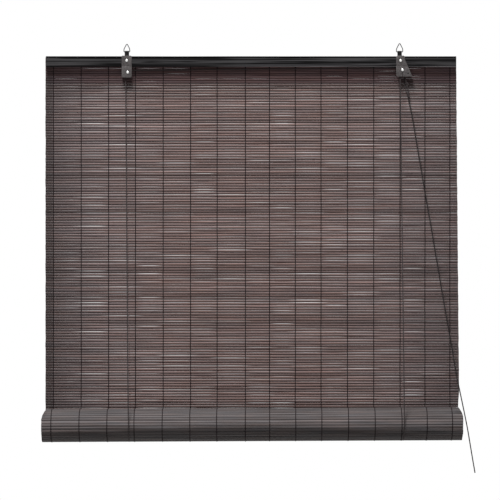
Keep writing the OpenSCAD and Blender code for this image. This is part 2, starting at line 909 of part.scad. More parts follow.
// Left lift cord from its pulley along the headrail, over the lock's pulley and down to the joining knot
module cross_cord() {
    exit_x = lock_axle_x + wrap_r;
    color([0.15, 0.13, 0.13])
        routed_cord(concat(
            wrap(left_axle_x, work_y, left_axle_z, 180, 90),
            wrap(lock_axle_x, rear_cord_y, lock_axle_z, 90, 0),
            [
                [exit_x, rear_cord_y, lock_leaf_end],
                [exit_x + cord_r, rear_cord_y, lock_leaf_end - join_drop / 2],
                [join_x - cord_r, work_y + cord_r + meet_gap, join_z + knot_h / 2 + meet_gap]
            ]
        ));
}

// Right lift cord over the lock's pulley and down to the joining knot
module lock_cord() {
    exit_x = lock_axle_x + wrap_r;
    color([0.15, 0.13, 0.13])
        routed_cord(concat(
            wrap(lock_axle_x, front_cord_y, lock_axle_z, 180, 0),
            [
                [exit_x, front_cord_y, lock_leaf_end],
                [join_x - cord_d, front_cord_y, lock_leaf_end - join_drop / 2],
                [join_x, work_y - cord_r - meet_gap, join_z + knot_h / 2 + meet_gap]
            ]
        ));
}

module join_knot() {
    color([0.15, 0.13, 0.13])
        translate([join_x, work_y, join_z])
            knot();
}

module pull_cord() {
    color([0.15, 0.13, 0.13])
        routed_cord([
            for (s = pull_shares)
                [
                    join_x + s[0] * side_run,
                    work_y - s[1] * forward_run,
                    join_z - knot_h / 2 - meet_gap - s[1] * down_run
                ]
        ]);
}

headrail();
top_hem();
hem_yarns();
hung_slats();
hung_yarns();
staples();
left_hanger();
left_loop();
left_fixing_rivet();
left_pulley();
left_axle();
lock_hanger();
lock_loop();
lock_fixing_rivet();
lock_pulley();
lock_axle();
lock_cam();
lock_cam_pin();
rolled_slats();
roll_yarns();
bottom_rod();
left_bight();
right_bight();
left_front_cord();
left_back_cord();
left_knot();
right_front_cord();
right_back_cord();
right_knot();
cross_cord();
lock_cord();
join_knot();
pull_cord();
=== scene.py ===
"""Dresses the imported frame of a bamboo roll-up blind: slats, yarns, cords, metalwork and a plain stage."""

import json
import math

import bmesh
import bpy
from mathutils import Matrix, Vector, noise


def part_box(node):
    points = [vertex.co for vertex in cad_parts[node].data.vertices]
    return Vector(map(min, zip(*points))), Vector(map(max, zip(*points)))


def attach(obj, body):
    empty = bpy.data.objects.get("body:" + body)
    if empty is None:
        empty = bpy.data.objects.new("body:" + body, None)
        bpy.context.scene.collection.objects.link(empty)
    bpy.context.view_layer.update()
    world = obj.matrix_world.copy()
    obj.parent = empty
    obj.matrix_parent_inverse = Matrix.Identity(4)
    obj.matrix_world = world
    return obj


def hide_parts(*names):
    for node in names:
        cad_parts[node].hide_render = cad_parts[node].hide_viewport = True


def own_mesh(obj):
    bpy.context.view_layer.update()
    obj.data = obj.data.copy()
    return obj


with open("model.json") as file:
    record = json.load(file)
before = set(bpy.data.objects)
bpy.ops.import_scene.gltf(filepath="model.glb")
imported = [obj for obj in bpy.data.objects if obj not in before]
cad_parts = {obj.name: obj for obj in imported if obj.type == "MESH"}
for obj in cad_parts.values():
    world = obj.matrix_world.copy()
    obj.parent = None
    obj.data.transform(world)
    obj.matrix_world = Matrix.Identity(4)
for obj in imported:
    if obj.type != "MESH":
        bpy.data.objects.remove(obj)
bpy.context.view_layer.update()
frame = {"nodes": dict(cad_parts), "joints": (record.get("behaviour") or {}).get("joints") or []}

bl_info = {
    "name": "Bamboo roll-up blind",
    "version": (1, 0, 0),
    "blender": (4, 5, 0),
    "location": "3D View > Sidebar > Blind",
    "description": "Slats, yarns, cords and metalwork of a roll-up blind, with a plain stage",
    "category": "Object",
}


def middle(node):
    """Middle of the box round a frame node."""
    low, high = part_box(node)
    return (low + high) / 2


MM = 0.001
RAIL_LOW, RAIL_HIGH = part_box("headrail")
HEM_LOW, HEM_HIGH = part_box("top_hem")
MAT_LOW, MAT_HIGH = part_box("hung_slats")
ROD_LOW, ROD_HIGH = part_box("bottom_rod")
ROD_R = (ROD_HIGH.z - ROD_LOW.z) / 2
ROLL_AXIS = middle("bottom_rod")
ROLL_TRAVEL = next(j["range_m"][1] for j in frame["joints"] if j["name"] == "roll_lift")
WIDTH = MAT_HIGH.x - MAT_LOW.x
SLAT_T = MAT_HIGH.y - MAT_LOW.y
MAT_MID = (MAT_LOW.y + MAT_HIGH.y) / 2
HEM_BACK_MID = HEM_HIGH.y - SLAT_T / 2
# Below the hem's fold, where its two leaves start
HEM_TOP = HEM_HIGH.z - SLAT_T
# Strip at each end of a slat, outside the last yarn
END_STRIP = 12 * MM
# How far the headrail's lower edge stands below the frame's
RAIL_DEEPER = 1.1 * MM

# Where the cords turn: the pulleys' middles, the radius round them, their grooves and the lock's lower end
CORD = 2 * MM
LEFT_AXLE = Vector((middle("left_axle").x, middle("left_pulley").y, middle("left_axle").z))
LOCK_AXLE = Vector((middle("lock_axle").x, middle("lock_pulley").y, middle("lock_axle").z))
CORD_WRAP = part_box("cross_cord")[1].z - LOCK_AXLE.z - CORD / 2
REAR_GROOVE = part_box("cross_cord")[1].y - CORD / 2
FRONT_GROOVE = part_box("lock_cord")[0].y + CORD / 2
LOCK_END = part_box("lock_hanger")[0].z
# Knots behind the hangers, the knot that joins the cords below the lock, and the slings under the roll
KNOT_LOW, KNOT_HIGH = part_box("left_knot")
KNOT = (KNOT_LOW + KNOT_HIGH) / 2
KNOT_H = KNOT_HIGH.z - KNOT_LOW.z
JOIN = Vector((304.4, -2.8, -102.4)) * MM
SLING_LOW, SLING_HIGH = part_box("left_bight")
SLING_R = (SLING_HIGH.y - SLING_LOW.y - CORD) / 2
LEFT_SLING_X = middle("left_bight").x
RIGHT_SLING_X = middle("right_bight").x


def linear(*display):
    """Linear colour of display values from 0 to 255."""
    shares = [value / 255 for value in display]
    return tuple(v / 12.92 if v < 0.04045 else ((v + 0.055) / 1.055) ** 2.4 for v in shares)


def length_prop(name, text, value):
    return bpy.props.FloatProperty(name=name, description=text, default=value, unit="LENGTH", precision=5)


def count_prop(name, text, value):
    return bpy.props.IntProperty(name=name, description=text, default=value)


def colour_prop(name, text, *display):
    return bpy.props.FloatVectorProperty(
        name=name, description=text, default=linear(*display), size=3, subtype="COLOR", min=0, max=1
    )


class BlindSizes(bpy.types.PropertyGroup):
    """Sizes of what the frame leaves plain."""

    pitch: length_prop("Slat pitch", "Height of a slat and its gap", 5.12 * MM)
    gap: length_prop("Gap", "Usual gap between two slats", 0.10 * MM)
    gap_play: length_prop("Gap play", "How much a gap opens and closes from bay to bay", 0.15 * MM)
    waver: length_prop("Waver", "How far a slat's edge strays from straight", 0.5 * MM)
    layer: length_prop("Layer", "Thickness of one turn of the roll", 2.8 * MM)
    wound: count_prop("Wound rows", "Rows of slats in the roll", 173)
    outer: count_prop("Outer rows", "Rows that show on the roll's outside", 46)
    yarn_w: length_prop("Yarn width", "Width of a yarn line", 2.1 * MM)
    yarn_t: length_prop("Yarn thickness", "Thickness of a yarn on one face", 0.6 * MM)
    yarns: count_prop("Yarns", "Number of yarn lines", 16)
    yarn_inset: length_prop("Yarn inset", "From the mat's side to the first yarn", 15.6 * MM)
    yarn_drift: length_prop("Yarn drift", "How far the middle lines stray to the right", 8.7 * MM)
    cord: length_prop("Cord", "Diameter of the lift cords", CORD)
    pull: length_prop("Pull cord", "Diameter of the pull cord", 2.2 * MM)


class BlindColours(bpy.types.PropertyGroup):
    """Colours of the blind's finishes."""

    # The hung mat, hem and roll are one bamboo in lit and shaded copies of its colour; the roll's greyer
    # colour is painted sheen
    mat: colour_prop("Hung mat", "Stained bamboo of the hung mat", 110, 92, 89)
    hem: colour_prop("Hem", "Stained bamboo of the doubled hem", 76, 58, 58)
    roll: colour_prop("Roll", "Stained bamboo of the roll", 72, 67, 67)
    rail: colour_prop("Headrail", "Black stained wood", 53, 52, 53)
    yarn: colour_prop("Yarn", "Binding yarn", 30, 23, 24)
    cord: colour_prop("Pull cord", "Pull cord, darkened by handling", 54, 50, 50)
    lift: colour_prop("Lift cords", "Lift cords", 70, 64, 64)
    sheet: colour_prop("Hangers", "Dull plating of the hangers", 78, 74, 74)
    neck: colour_prop("Necks", "Dark folds over the wire", 24, 23, 24)
    wire: colour_prop("Wire", "Darkened wire of the loops", 84, 84, 86)
    rivet: colour_prop("Rivets", "Bright rivets", 225, 224, 222)
    pulley: colour_prop("Pulleys", "Moulded pulleys", 52, 50, 50)
    brass: colour_prop("Cam", "Brass cam", 190, 160, 100)
    floor: colour_prop("Floor", "Plain pale floor", 232, 232, 230)


def sizes():
    return bpy.context.scene.blind_sizes


def colours():
    return bpy.context.scene.blind_colours


# Finishes


def finish(name):
    """New material, its shader and a function that adds a node.
    A node's inputs are given by their names, or by their order as i0, i1 and so on."""
    material = bpy.data.materials.new(name)
    material.use_nodes = True
    tree = material.node_tree

    def add(kind, settings=None, **inputs):
        node = tree.nodes.new("ShaderNode" + kind)
        for key, value in (settings or {}).items():
            setattr(node, key, value)
        for key, value in inputs.items():
            socket = node.inputs[int(key[1:])] if key[0] == "i" and key[1:].isdigit() else node.inputs[key]
            if isinstance(value, bpy.types.NodeSocket):
                tree.links.new(value, socket)
            else:
                socket.default_value = value
        return node

    return material, tree.nodes["Principled BSDF"], add


def join(shader, name, socket):
    shader.id_data.links.new(socket, shader.inputs[name])


def place_of(add):
    """Object coordinates, with an output for each axis."""
    return add("SeparateXYZ", Vector=add("TexCoord").outputs["Object"]).outputs


def stretched_noise(add, scale, detail, rough=0.55, waves=0.0):
    """Noise on object coordinates, with its own scale along each axis, and wavy if asked."""
    place = add("TexCoord").outputs["Object"]
    mapped = add("Mapping", Vector=place, Scale=scale).outputs["Vector"]
    noisy = add("TexNoise", Vector=mapped, Scale=1.0, Detail=detail, Roughness=rough, Distortion=waves)
    return noisy.outputs["Fac"]


def ranged(add, value, low, high, to_low, to_high):
    """Value brought from the range low to high into the range to_low to to_high."""
    return add("MapRange", i0=value, i1=low, i2=high, i3=to_low, i4=to_high).outputs["Result"]


def times(add, first, second):
    return add("Math", {"operation": "MULTIPLY"}, i0=first, i1=second).outputs[0]


def mixed(add, share, first, second):
    return add("Mix", {"data_type": "RGBA"}, i0=share, i6=(*first, 1), i7=(*second, 1)).outputs[2]


def tint(shader, add, colour, share):
    """Base colour, paler or deeper by a share that varies over the piece."""
    tinted = add("VectorMath", {"operation": "SCALE"}, i0=colour, Scale=share)
    join(shader, "Base Color", tinted.outputs[0])


def bumped(shader, add, height, strength, distance):
    bump = add("Bump", Height=height, Strength=strength, Distance=distance)
    join(shader, "Normal", bump.outputs["Normal"])


# Tints of bamboo: its warm and cool patches and its greyed sides
WARM = (1.05, 0.99, 0.96)
COOL = (0.95, 1.0, 1.03)
GREYED = (0.96, 1.04, 1.09)
# How far out from the blind's middle the bamboo starts to grey, and where it is greyest
GREY_FROM = 150 * MM
GREY_TO = 360 * MM


def bamboo(name, colour, flecks=0.6, grey_sides=False):
    """Stained bamboo: fibres along the slat, a tone for each slat, warm and cool patches and dark flecks.
    The mat and its hem grey towards their sides."""
    material, shader, add = finish(name)
    fibre = stretched_noise(add, (8, 400, 700), 6)
    patch = stretched_noise(add, (14, 120, 190), 2)
    fleck = stretched_noise(add, (95, 300, 330), 2)
    tone = add("Attribute", {"attribute_name": "tone"}).outputs["Fac"]
    share = times(add, ranged(add, fibre, 0.36, 0.64, 0.6, 1.4), tone)
    share = times(add, share, ranged(add, fleck, 0.66, 0.76, 1.0, flecks))
    warm = [c * k for c, k in zip(colour, WARM)]
    cool = [c * k for c, k in zip(colour, COOL)]
    hue = mixed(add, ranged(add, patch, 0.35, 0.65, 0.0, 1.0), warm, cool)
    if grey_sides:
        out = add("Math", {"operation": "ABSOLUTE"}, i0=place_of(add)["X"]).outputs[0]
        grey = mixed(add, ranged(add, out, GREY_FROM, GREY_TO, 0.0, 1.0), (1, 1, 1), GREYED)
        hue = add("VectorMath", {"operation": "MULTIPLY"}, i0=hue, i1=grey).outputs[0]
    tint(shader, add, hue, share)
    join(shader, "Roughness", ranged(add, fibre, 0.3, 0.7, 0.62, 0.48))
    shader.inputs["Specular IOR Level"].default_value = 0.15
    bumped(shader, add, fibre, 0.35, 0.3 * MM)
    return material


# Bands along the headrail's edges, by the distance in from the edge where each starts and ends: a dark top
# band, painted shade along the lower edge and a painted highlight on it
TOP_BAND = (2.4 * MM, 4.2 * MM)
LOW_SHADE_BAND = (1.2 * MM, 3 * MM)
LIT_EDGE_BAND = (0.8 * MM, 1.4 * MM)
# Stretch along the headrail where its lower edge goes over from dark to a painted highlight
LIT_EDGE_FROM = -90 * MM
LIT_EDGE_TO = -40 * MM


def stained_wood(name, colour, edges=None):
    """Dark stained wood with long wavy grain and worn streaks. Where a low and a high edge are given, it is
    darker along both, with painted shade along the low one, and part of the low one carries a painted
    highlight."""
    material, shader, add = finish(name)
    grain = stretched_noise(add, (9, 160, 520), 5, 0.6)
    streak = stretched_noise(add, (3.4, 40, 170), 3, waves=0.8)
    share = times(add, ranged(add, grain, 0.38, 0.62, 0.8, 1.2), ranged(add, streak, 0.42, 0.58, 0.25, 1.75))
    if edges:
        low, high = edges
        place = place_of(add)
        # Painted shade along the lower edge, and along part of it a painted highlight
        lit_edge = ranged(add, place["X"], LIT_EDGE_FROM, LIT_EDGE_TO, 0.6, 9.0)
        for start, end, tone, end_tone in (
            (high - TOP_BAND[1], high - TOP_BAND[0], 1.0, 0.02),
            (low + LOW_SHADE_BAND[0], low + LOW_SHADE_BAND[1], 0.5, 1.0),
            (low + LIT_EDGE_BAND[0], low + LIT_EDGE_BAND[1], lit_edge, 1.0),
        ):
            share = times(add, share, ranged(add, place["Z"], start, end, tone, end_tone))
    tint(shader, add, colour, share)
    join(shader, "Roughness", ranged(add, grain, 0.3, 0.7, 0.45, 0.65))
    shader.inputs["Specular IOR Level"].default_value = 0.02
    bumped(shader, add, streak, 0.4, 0.6 * MM)
    return material


# Length of one wave of a wave texture whose scale is 1
WAVE_LENGTH = 0.314


def twisted(name, colour, pitch, lean):
    """Yarn or cord: slanting strands and fuzz."""
    material, shader, add = finish(name)
    place = add("TexCoord").outputs["Object"]
    turned = add("Mapping", Vector=place, Rotation=(0, lean, lean)).outputs["Vector"]
    scale = WAVE_LENGTH / pitch
    wave = add("TexWave", {"bands_direction": "Z"}, Vector=turned, Scale=scale, Distortion=1.5, Detail=2.0)
    strand = wave.outputs["Fac"]
    fuzz = stretched_noise(add, (2600, 2600, 2600), 3)
    share = times(add, ranged(add, strand, 0.0, 1.0, 0.62, 1.3), ranged(add, fuzz, 0.3, 0.7, 0.8, 1.2))
    tint(shader, add, colour, share)
    shader.inputs["Roughness"].default_value = 0.85
    shader.inputs["Specular IOR Level"].default_value = 0.1
    bumped(shader, add, strand, 0.5, 0.4 * MM)
    return material


def metal(name, colour, rough, mottle, metallic=1.0, specular=0.5, rim=False):
    """Worn metal: mottled plating, fine scratches and uneven gloss, with painted shade round the rim of a
    rivet's head.
    """
    material, shader, add = finish(name)
    cloud = stretched_noise(add, (330, 330, 330), 4)
    scratch = stretched_noise(add, (350, 350, 5200), 2)
    mottled = ranged(add, cloud, 0.3, 0.7, 1 - mottle, 1 + mottle)
    share = times(add, mottled, ranged(add, scratch, 0.35, 0.65, 0.94, 1.06))
    if rim:
        # Painted shade round the rim of a rivet's head, darkest at its edge
        outward = add("Attribute", {"attribute_name": "rim"}).outputs["Fac"]
        share = times(add, share, ranged(add, outward, 0.62, 0.9, 1.0, 0.12))
    tint(shader, add, colour, share)
    join(shader, "Roughness", ranged(add, cloud, 0.3, 0.7, rough * 1.25, rough * 0.8))
    shader.inputs["Metallic"].default_value = metallic
    shader.inputs["Specular IOR Level"].default_value = specular
    bumped(shader, add, scratch, 0.12, 0.1 * MM)
    return material


def moulded(name, colour):
    """Moulded plastic with a fine grain."""
    material, shader, add = finish(name)
    grain = stretched_noise(add, (1500, 1500, 1500), 3)
    tint(shader, add, colour, ranged(add, grain, 0.3, 0.7, 0.85, 1.15))
    shader.inputs["Roughness"].default_value = 0.5
    bumped(shader, add, grain, 0.15, 0.1 * MM)
    return material


FINISHES = {}


def make_finishes():
    c = colours()
    FINISHES.update(
        mat=bamboo("Stained bamboo mat", tuple(c.mat), grey_sides=True),
        hem=bamboo("Stained bamboo hem", tuple(c.hem), grey_sides=True),
        roll=bamboo("Stained bamboo roll", tuple(c.roll), 0.75),
        rail=stained_wood("Black stained wood", tuple(c.rail), (RAIL_LOW.z - RAIL_DEEPER, RAIL_HIGH.z)),
        rod=stained_wood("Stained rod", tuple(c.hem)),
        yarn=twisted("Binding yarn", tuple(c.yarn), 1.1 * MM, 0.6),
        cord=twisted("Handled cord", tuple(c.cord), 1.4 * MM, 0.7),
        lift=twisted("Braided cord", tuple(c.lift), 1.4 * MM, 0.7),
        sheet=metal("Dull plating", tuple(c.sheet), 0.45, 0.4, 0.6),
        neck=metal("Dark fold", tuple(c.neck), 0.6, 0.25, 0.0, 0.12),
        wire=metal("Darkened wire", tuple(c.wire), 0.3, 0.15),
        rivet=metal("Bright rivet", tuple(c.rivet), 0.3, 0.05, rim=True),
        pulley=moulded("Moulded pulley", tuple(c.pulley)),
        brass=metal("Plain brass", tuple(c.brass), 0.32, 0.12),
        staple=metal("Staple wire", tuple(c.rivet), 0.35, 0.1),
    )


def finish_for(key):
    """Finish by its key. All of them are made when the first one is asked for."""
    if not FINISHES:
        make_finishes()
    return FINISHES[key]


# Making pieces


def piece(name, bm, finishes, body, node, smooth=30):
    """Object from a finished bmesh: it rides on its body and stands for a node of the frame."""
    mesh = bpy.data.meshes.new(name)
    bm.to_mesh(mesh)
    bm.free()
    for key in finishes:
        mesh.materials.append(finish_for(key))
    obj = bpy.data.objects.new(name, mesh)
    bpy.context.scene.collection.objects.link(obj)
    mesh.shade_smooth()
    mesh.set_sharp_from_angle(angle=math.radians(smooth))
    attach(obj, body)
    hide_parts(node)
    return obj


def absorb(bm, made):
    """Adds a finished bmesh to another one and frees it."""
    mesh = bpy.data.meshes.new("part of a piece")
    made.to_mesh(mesh)
    made.free()
    bm.from_mesh(mesh)
    bpy.data.meshes.remove(mesh)


def recalc(bm):
    bmesh.ops.recalc_face_normals(bm, faces=bm.faces)


def lengthwise(bm, length):
    """Edges that run along the blind for more than half of a length."""
    return [e for e in bm.edges if abs(e.verts[0].co.x - e.verts[1].co.x) > length / 2]


def ease(bm, edges, offset, segments, clamp=False):
    """Rounds edges off."""
    bmesh.ops.bevel(
        bm, geom=edges, offset=offset, segments=segments, profile=0.5, affect="EDGES", material=-1,
        clamp_overlap=clamp,
    )


def lift_keep(top):
    """Share of its height that a hung piece keeps at the top of the roll's travel."""
    return 1 - ROLL_TRAVEL / (top - ROLL_AXIS.z)


def hung_squash(obj):
    """Gives the piece its own copy of its mesh."""
    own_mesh(obj)


def tube(bm, route, across, deep, sides, normals=None):
    """Adds a closed tube along a route, with its own half width and half depth at each ring.
    Depth is measured along the ring's normal and width square to it."""
    rings = len(route)
    made = bmesh.new()
    bmesh.ops.create_cone(
        made, cap_ends=True, cap_tris=False, segments=sides, radius1=1, radius2=1, depth=rings - 1
    )
    long_edges = [e for e in made.edges if abs(e.verts[0].co.z - e.verts[1].co.z) > 0.5]
    if rings > 2:
        bmesh.ops.subdivide_edges(made, edges=long_edges, cuts=rings - 2, use_grid_fill=True)
    frames = []
    side = None
    for i in range(rings):
        ahead = (route[min(i + 1, rings - 1)] - route[max(i - 1, 0)]).normalized()
        out = normals[i] if normals else (side.cross(ahead) if side else ahead.orthogonal())
        side = ahead.cross(out).normalized()
        frames.append((side, side.cross(ahead).normalized()))
    for v in made.verts:
        k = min(max(round(v.co.z + (rings - 1) / 2), 0), rings - 1)
        side, out = frames[k]
        v.co = route[k] + side * (v.co.x * across[k]) + out * (v.co.y * deep[k])
    absorb(bm, made)


def cord_tube(bm, route, diameter, sides=10):
    radius = [diameter / 2] * len(route)
    tube(bm, route, radius, radius, sides)


def even(start, end, steps):
    return [start.lerp(end, i / steps) for i in range(steps + 1)]


# Share of a side that the curve at its corner takes at most
CURVE_SHARE = 1 / 2.2


def rounded_route(points, radius, steps=5):
    """Route with each inner corner rounded by a short curve."""
    route = [points[0]]
    for before, corner, after in zip(points, points[1:], points[2:]):
        reach = min(radius, (corner - before).length * CURVE_SHARE, (after - corner).length * CURVE_SHARE)
        a = corner + (before - corner).normalized() * reach
        b = corner + (after - corner).normalized() * reach
        for i in range(steps + 1):
            t = i / steps
            route.append(a * (1 - t) ** 2 + corner * (2 * t * (1 - t)) + b * t**2)
    route.append(points[-1])
    return route


# Rows and yarn lines


def mat_rows():
    """Number of rows in the hung mat and their pitch."""
    height = MAT_HIGH.z - MAT_LOW.z
    rows = round(height / sizes().pitch)
    return rows, height / rows


def hem_rows():
    """Number of rows in each leaf of the hem and their pitch below its fold."""
    rows = round((HEM_HIGH.z - HEM_LOW.z) / sizes().pitch)
    return rows, sizes().pitch - SLAT_T / rows


# How far each yarn line strays from its even place, in millimetres
YARN_STRAY = (-0.3, 0.6, 0.8, 0.0, 1.2, 2.0, 1.5, 4.7, 0.2, -0.6, -1.2, -0.2, 0.9, 2.3, 1.1, 0.0)


def yarn_lines():
    """Places of the yarn lines across the blind."""
    s = sizes()
    places = []
    for line in range(s.yarns):
        share = line / (s.yarns - 1)
        stray = YARN_STRAY[line % len(YARN_STRAY)] * MM
        drift = s.yarn_drift * math.sin(math.pi * share)
        places.append((WIDTH - 2 * s.yarn_inset) * (share - 0.5) + drift + stray)
    return places


def bay_of(x, lines):
    """Bay between two yarn lines, counted from the left."""
    return sum(line < x for line in lines)


def at_yarn(x, lines):
    return any(abs(line - x) < MM for line in lines)


# Slats

# Points round a slat, and the power by which its faces are domed
SLAT_SIDES = 12
SLAT_DOME = 1.5


def slat_places():
    """Places along a slat where it can bend: its ends, its yarns and two places in each bay between yarns."""
    lines = yarn_lines()
    places = [-WIDTH / 2, END_STRIP - WIDTH / 2]
    for near, far in zip(lines, lines[1:]):
        places += [near, near + (far - near) / 3, near + (far - near) * 2 / 3]
    return places + [lines[-1], WIDTH / 2 - END_STRIP, WIDTH / 2]


def slat_blank(height, places):
    """One slat, domed on both faces, with a ring of points at each place along it."""
    bm = bmesh.new()
    steps = len(places) - 1
    along = Matrix.Rotation(math.pi / 2, 4, "Y")
    bmesh.ops.create_cone(
        bm, cap_ends=True, segments=SLAT_SIDES, radius1=1, radius2=1, depth=steps, matrix=along
    )
    if steps > 1:
        bmesh.ops.subdivide_edges(bm, edges=lengthwise(bm, steps), cuts=steps - 1, use_grid_fill=True)
    for v in bm.verts:
        domed = math.copysign(abs(v.co.y) ** SLAT_DOME, v.co.y)
        v.co = (places[round(v.co.x + steps / 2)], domed * SLAT_T / 2, v.co.z * height / 2)
    mesh = bpy.data.meshes.new("slat blank")
    bm.to_mesh(mesh)
    bm.free()
    return mesh


def wobble(x, row, seed):
    """Smooth value from about -1 to 1 along a slat."""
    return noise.noise(Vector((x * 9.3 + seed, row * 2.71 + 0.37, seed * 1.7)))


def row_value(row, seed):
    """Value from about -1 to 1 that drifts from row to row."""
    return noise.noise(Vector((row * 0.613 + seed, seed * 2.3 + 0.5, 0.21)))


def tone_of(row, seed):
    """Tone of a row by itself, about 1."""
    return 1 + 0.5 * noise.noise(Vector((row * 3.37 + 0.41, seed, 0.77)))


# Groups of rows that lie tight together, and groups that let more light through
TIGHT_ROWS = (
    (12, 15), (21, 23), (30, 32), (34, 36), (47, 50), (69, 72), (76, 77), (78, 82), (88, 93), (99, 101),
)
OPEN_ROWS = (
    (15, 17), (26, 28), (54, 56), (61, 62), (66, 68), (72, 75), (82, 85), (86, 87), (93, 96), (112, 113),
)


def among(row, groups):
    return any(low <= row < high for low, high in groups)


# Painted shade and light up a slat, in bands that each end at a share of its height, and above the last of
# them: shade along its edges and light on its upper half
SHADE_BANDS = ((0.03, 0.08), (0.1, 0.2), (0.3, 0.66), (0.6, 1.05), (0.97, 1.2))
TOP_EDGE_SHADE = 0.65


def edge_shade(share):
    """Painted shade, deepest along a slat's lower edge and a little along its upper one, and painted light on
    its upper half.
    """
    return next((tone for end, tone in SHADE_BANDS if share < end), TOP_EDGE_SHADE)


# The mat's left strip: its width, its tone and the tone of its slats from edge to edge
STRIP_W = 1.2 * END_STRIP
STRIP_TONE = 0.44
STRIP_EDGE_TONE = 0.9
# How far in from its sides the mat is darker, as painted shade where the light falls off, by which share at
# the top, and by how much more at the foot
DARK_REACH = 9 * END_STRIP
LEFT_DARK, LEFT_DARKER = 0.4, 0.1
RIGHT_DARK, RIGHT_DARKER = 0.26, 0.14


def side_tone(x, down):
    """The mat is darkest along its left strip, and darker towards both sides as painted shade, most at its
    lower corners.
    """
    from_left, from_right = x + WIDTH / 2, WIDTH / 2 - x
    if from_left < STRIP_W:
        return STRIP_TONE
    near_left = (LEFT_DARK + LEFT_DARKER * down**2) * (1 - from_left / DARK_REACH)
    near_right = (RIGHT_DARK + RIGHT_DARKER * down**2) * (1 - from_right / DARK_REACH)
    return min(1.0, 1 - near_left, 1 - near_right)


# Gaps near the mat's sides: width of the shut strip at the left, how far they take to open from there,
# how far in they are narrower at the lower right, and the least share of a gap there
SHUT_STRIP = 1.3 * END_STRIP
OPENING_REACH = 5 * END_STRIP
NARROW_REACH = 8 * END_STRIP
NARROW_SHARE = 0.3


def open_share(x, down):
    """How far gaps stay open near the mat's sides."""
    left = (x + WIDTH / 2 - SHUT_STRIP) / OPENING_REACH
    right = 1 - down * (1 - (WIDTH / 2 - x) / NARROW_REACH)
    return max(0.0, min(1.0, left, max(NARROW_SHARE, right)))


# Shares of the usual gap: its play from row to row, a gap in a tight or an open group, and at a yarn
ROW_PLAY_SHARE = 0.6
TIGHT_SHARE = 0.2
OPEN_GROUP_SHARE = 1.7
PINCH_SHARE = 0.6
# Shares of the gap's play: what a wide bay adds, and how much a gap wavers along its bay
WIDE_SHARE = 2.1
GAP_WAVER_SHARE = 0.4
# Value drawn for a bay, from 0 to 1, above which it is a wide one
WIDE_DRAW = 0.86
LEAST_GAP = 0.02 * MM


def gap_at(x, row, rows, lines):
    """Gap above a row of the hung mat at a place along it: each bay between two yarns has its own."""
    s = sizes()
    bay = bay_of(x, lines) + 0.5
    usual = s.gap * (1 + ROW_PLAY_SHARE * row_value(row, 4.2))
    if among(row, TIGHT_ROWS):
        usual *= TIGHT_SHARE
    elif among(row, OPEN_ROWS):
        usual *= OPEN_GROUP_SHARE
    own = s.gap_play * noise.cell(Vector((bay, row + 0.5, 7.5)))
    wide = WIDE_SHARE * s.gap_play * (noise.cell(Vector((bay, row + 0.5, 2.5))) > WIDE_DRAW)
    gap = usual + own + wide + GAP_WAVER_SHARE * s.gap_play * wobble(x, row, 3.1)
    pinch = PINCH_SHARE if at_yarn(x, lines) else 1.0
    return max(LEAST_GAP, gap * pinch * open_share(x, row / rows))


# The hem's rear leaf hangs a little higher, so that its gaps line up with the front ones seen from below
HEM_BACK_RISE = 0.3 * MM
# Bays between yarns where the hem lets light through, by row
HEM_OPEN = {
    4: (2, 3, 4, 5, 11, 12, 14), 5: (13,), 6: (5,), 7: (11, 13, 14), 8: (1, 6, 7, 8, 12, 13, 14), 9: (4, 13),
}
HEM_GAP = 0.2 * MM
HEM_SHUT_GAP = 0.04 * MM
HEM_PINCH_SHARE = 0.5


def hem_gap_at(x, row, lines):
    """Gap above a row of the hem: most are shut, and some bays of the lower rows are open."""
    if bay_of(x, lines) not in HEM_OPEN.get(row, ()):
        return HEM_SHUT_GAP
    return HEM_GAP * (HEM_PINCH_SHARE if at_yarn(x, lines) else 1.0)


def way_down(z):
    """Share of the way down from the hem's top to the roll."""
    return (HEM_HIGH.z - z) / (HEM_HIGH.z - MAT_LOW.z)


# Right ends of the slats: how far in they stand at the top, how much further out at the roll, and how far
# they draw in above it, from which share of the way down and at which rate over the whole way
ENDS_IN = 3.4 * MM
ENDS_SPLAY = 6.2 * MM
ENDS_DRAWN = 2.4 * MM
DRAWN_FROM_SHARE = 0.915
DRAWN_RATE = 60 * MM


def end_shift(x, z):
    """The right ends of the slats stand out further from the top down, and draw in above the roll."""
    past = max(0.0, (x - WIDTH / 2 + END_STRIP) / END_STRIP)
    down = way_down(z)
    drawn = min(ENDS_DRAWN, max(0.0, DRAWN_RATE * (down - DRAWN_FROM_SHARE)))
    return past * (ENDS_SPLAY * down - ENDS_IN - drawn)


def edge_at(x, row, top, pitch):
    """Height of the line between two rows."""
    return top - row * pitch + sizes().waver / 2 * noise.noise(Vector((x * 3.1, row * 1.37 + 0.2, 5.5)))


# Rows that are paler or darker than their neighbours; the last two above the roll are darkened as painted
# shade
ROW_TONES = {
    32: 0.88, 40: 0.88, 41: 0.82, 66: 1.15, 67: 1.25, 68: 1.15, 71: 0.72, 74: 0.9, 77: 1.15, 82: 0.88,
    105: 0.85, 106: 0.85, 122: 0.85, 123: 0.7,
}
# Painted shade on tight rows, which let less light through
TIGHT_TONE = 0.8
# Tone of the first row under the hem and its gain from row to row, painted shade below the hem, and the same
# as painted shade on the mat's upper part
FIRST_TONE, FIRST_GAIN = 0.55, 0.07
UPPER_TONE, UPPER_GAIN = 0.93, 0.001
# Painted light on the hem in the headrail's shadow: tone of the hem's first row, its loss from row to row and
# the hem's least tone
HEM_TONE, HEM_LOSS, HEM_LEAST_TONE = 4.4, 0.425, 0.8


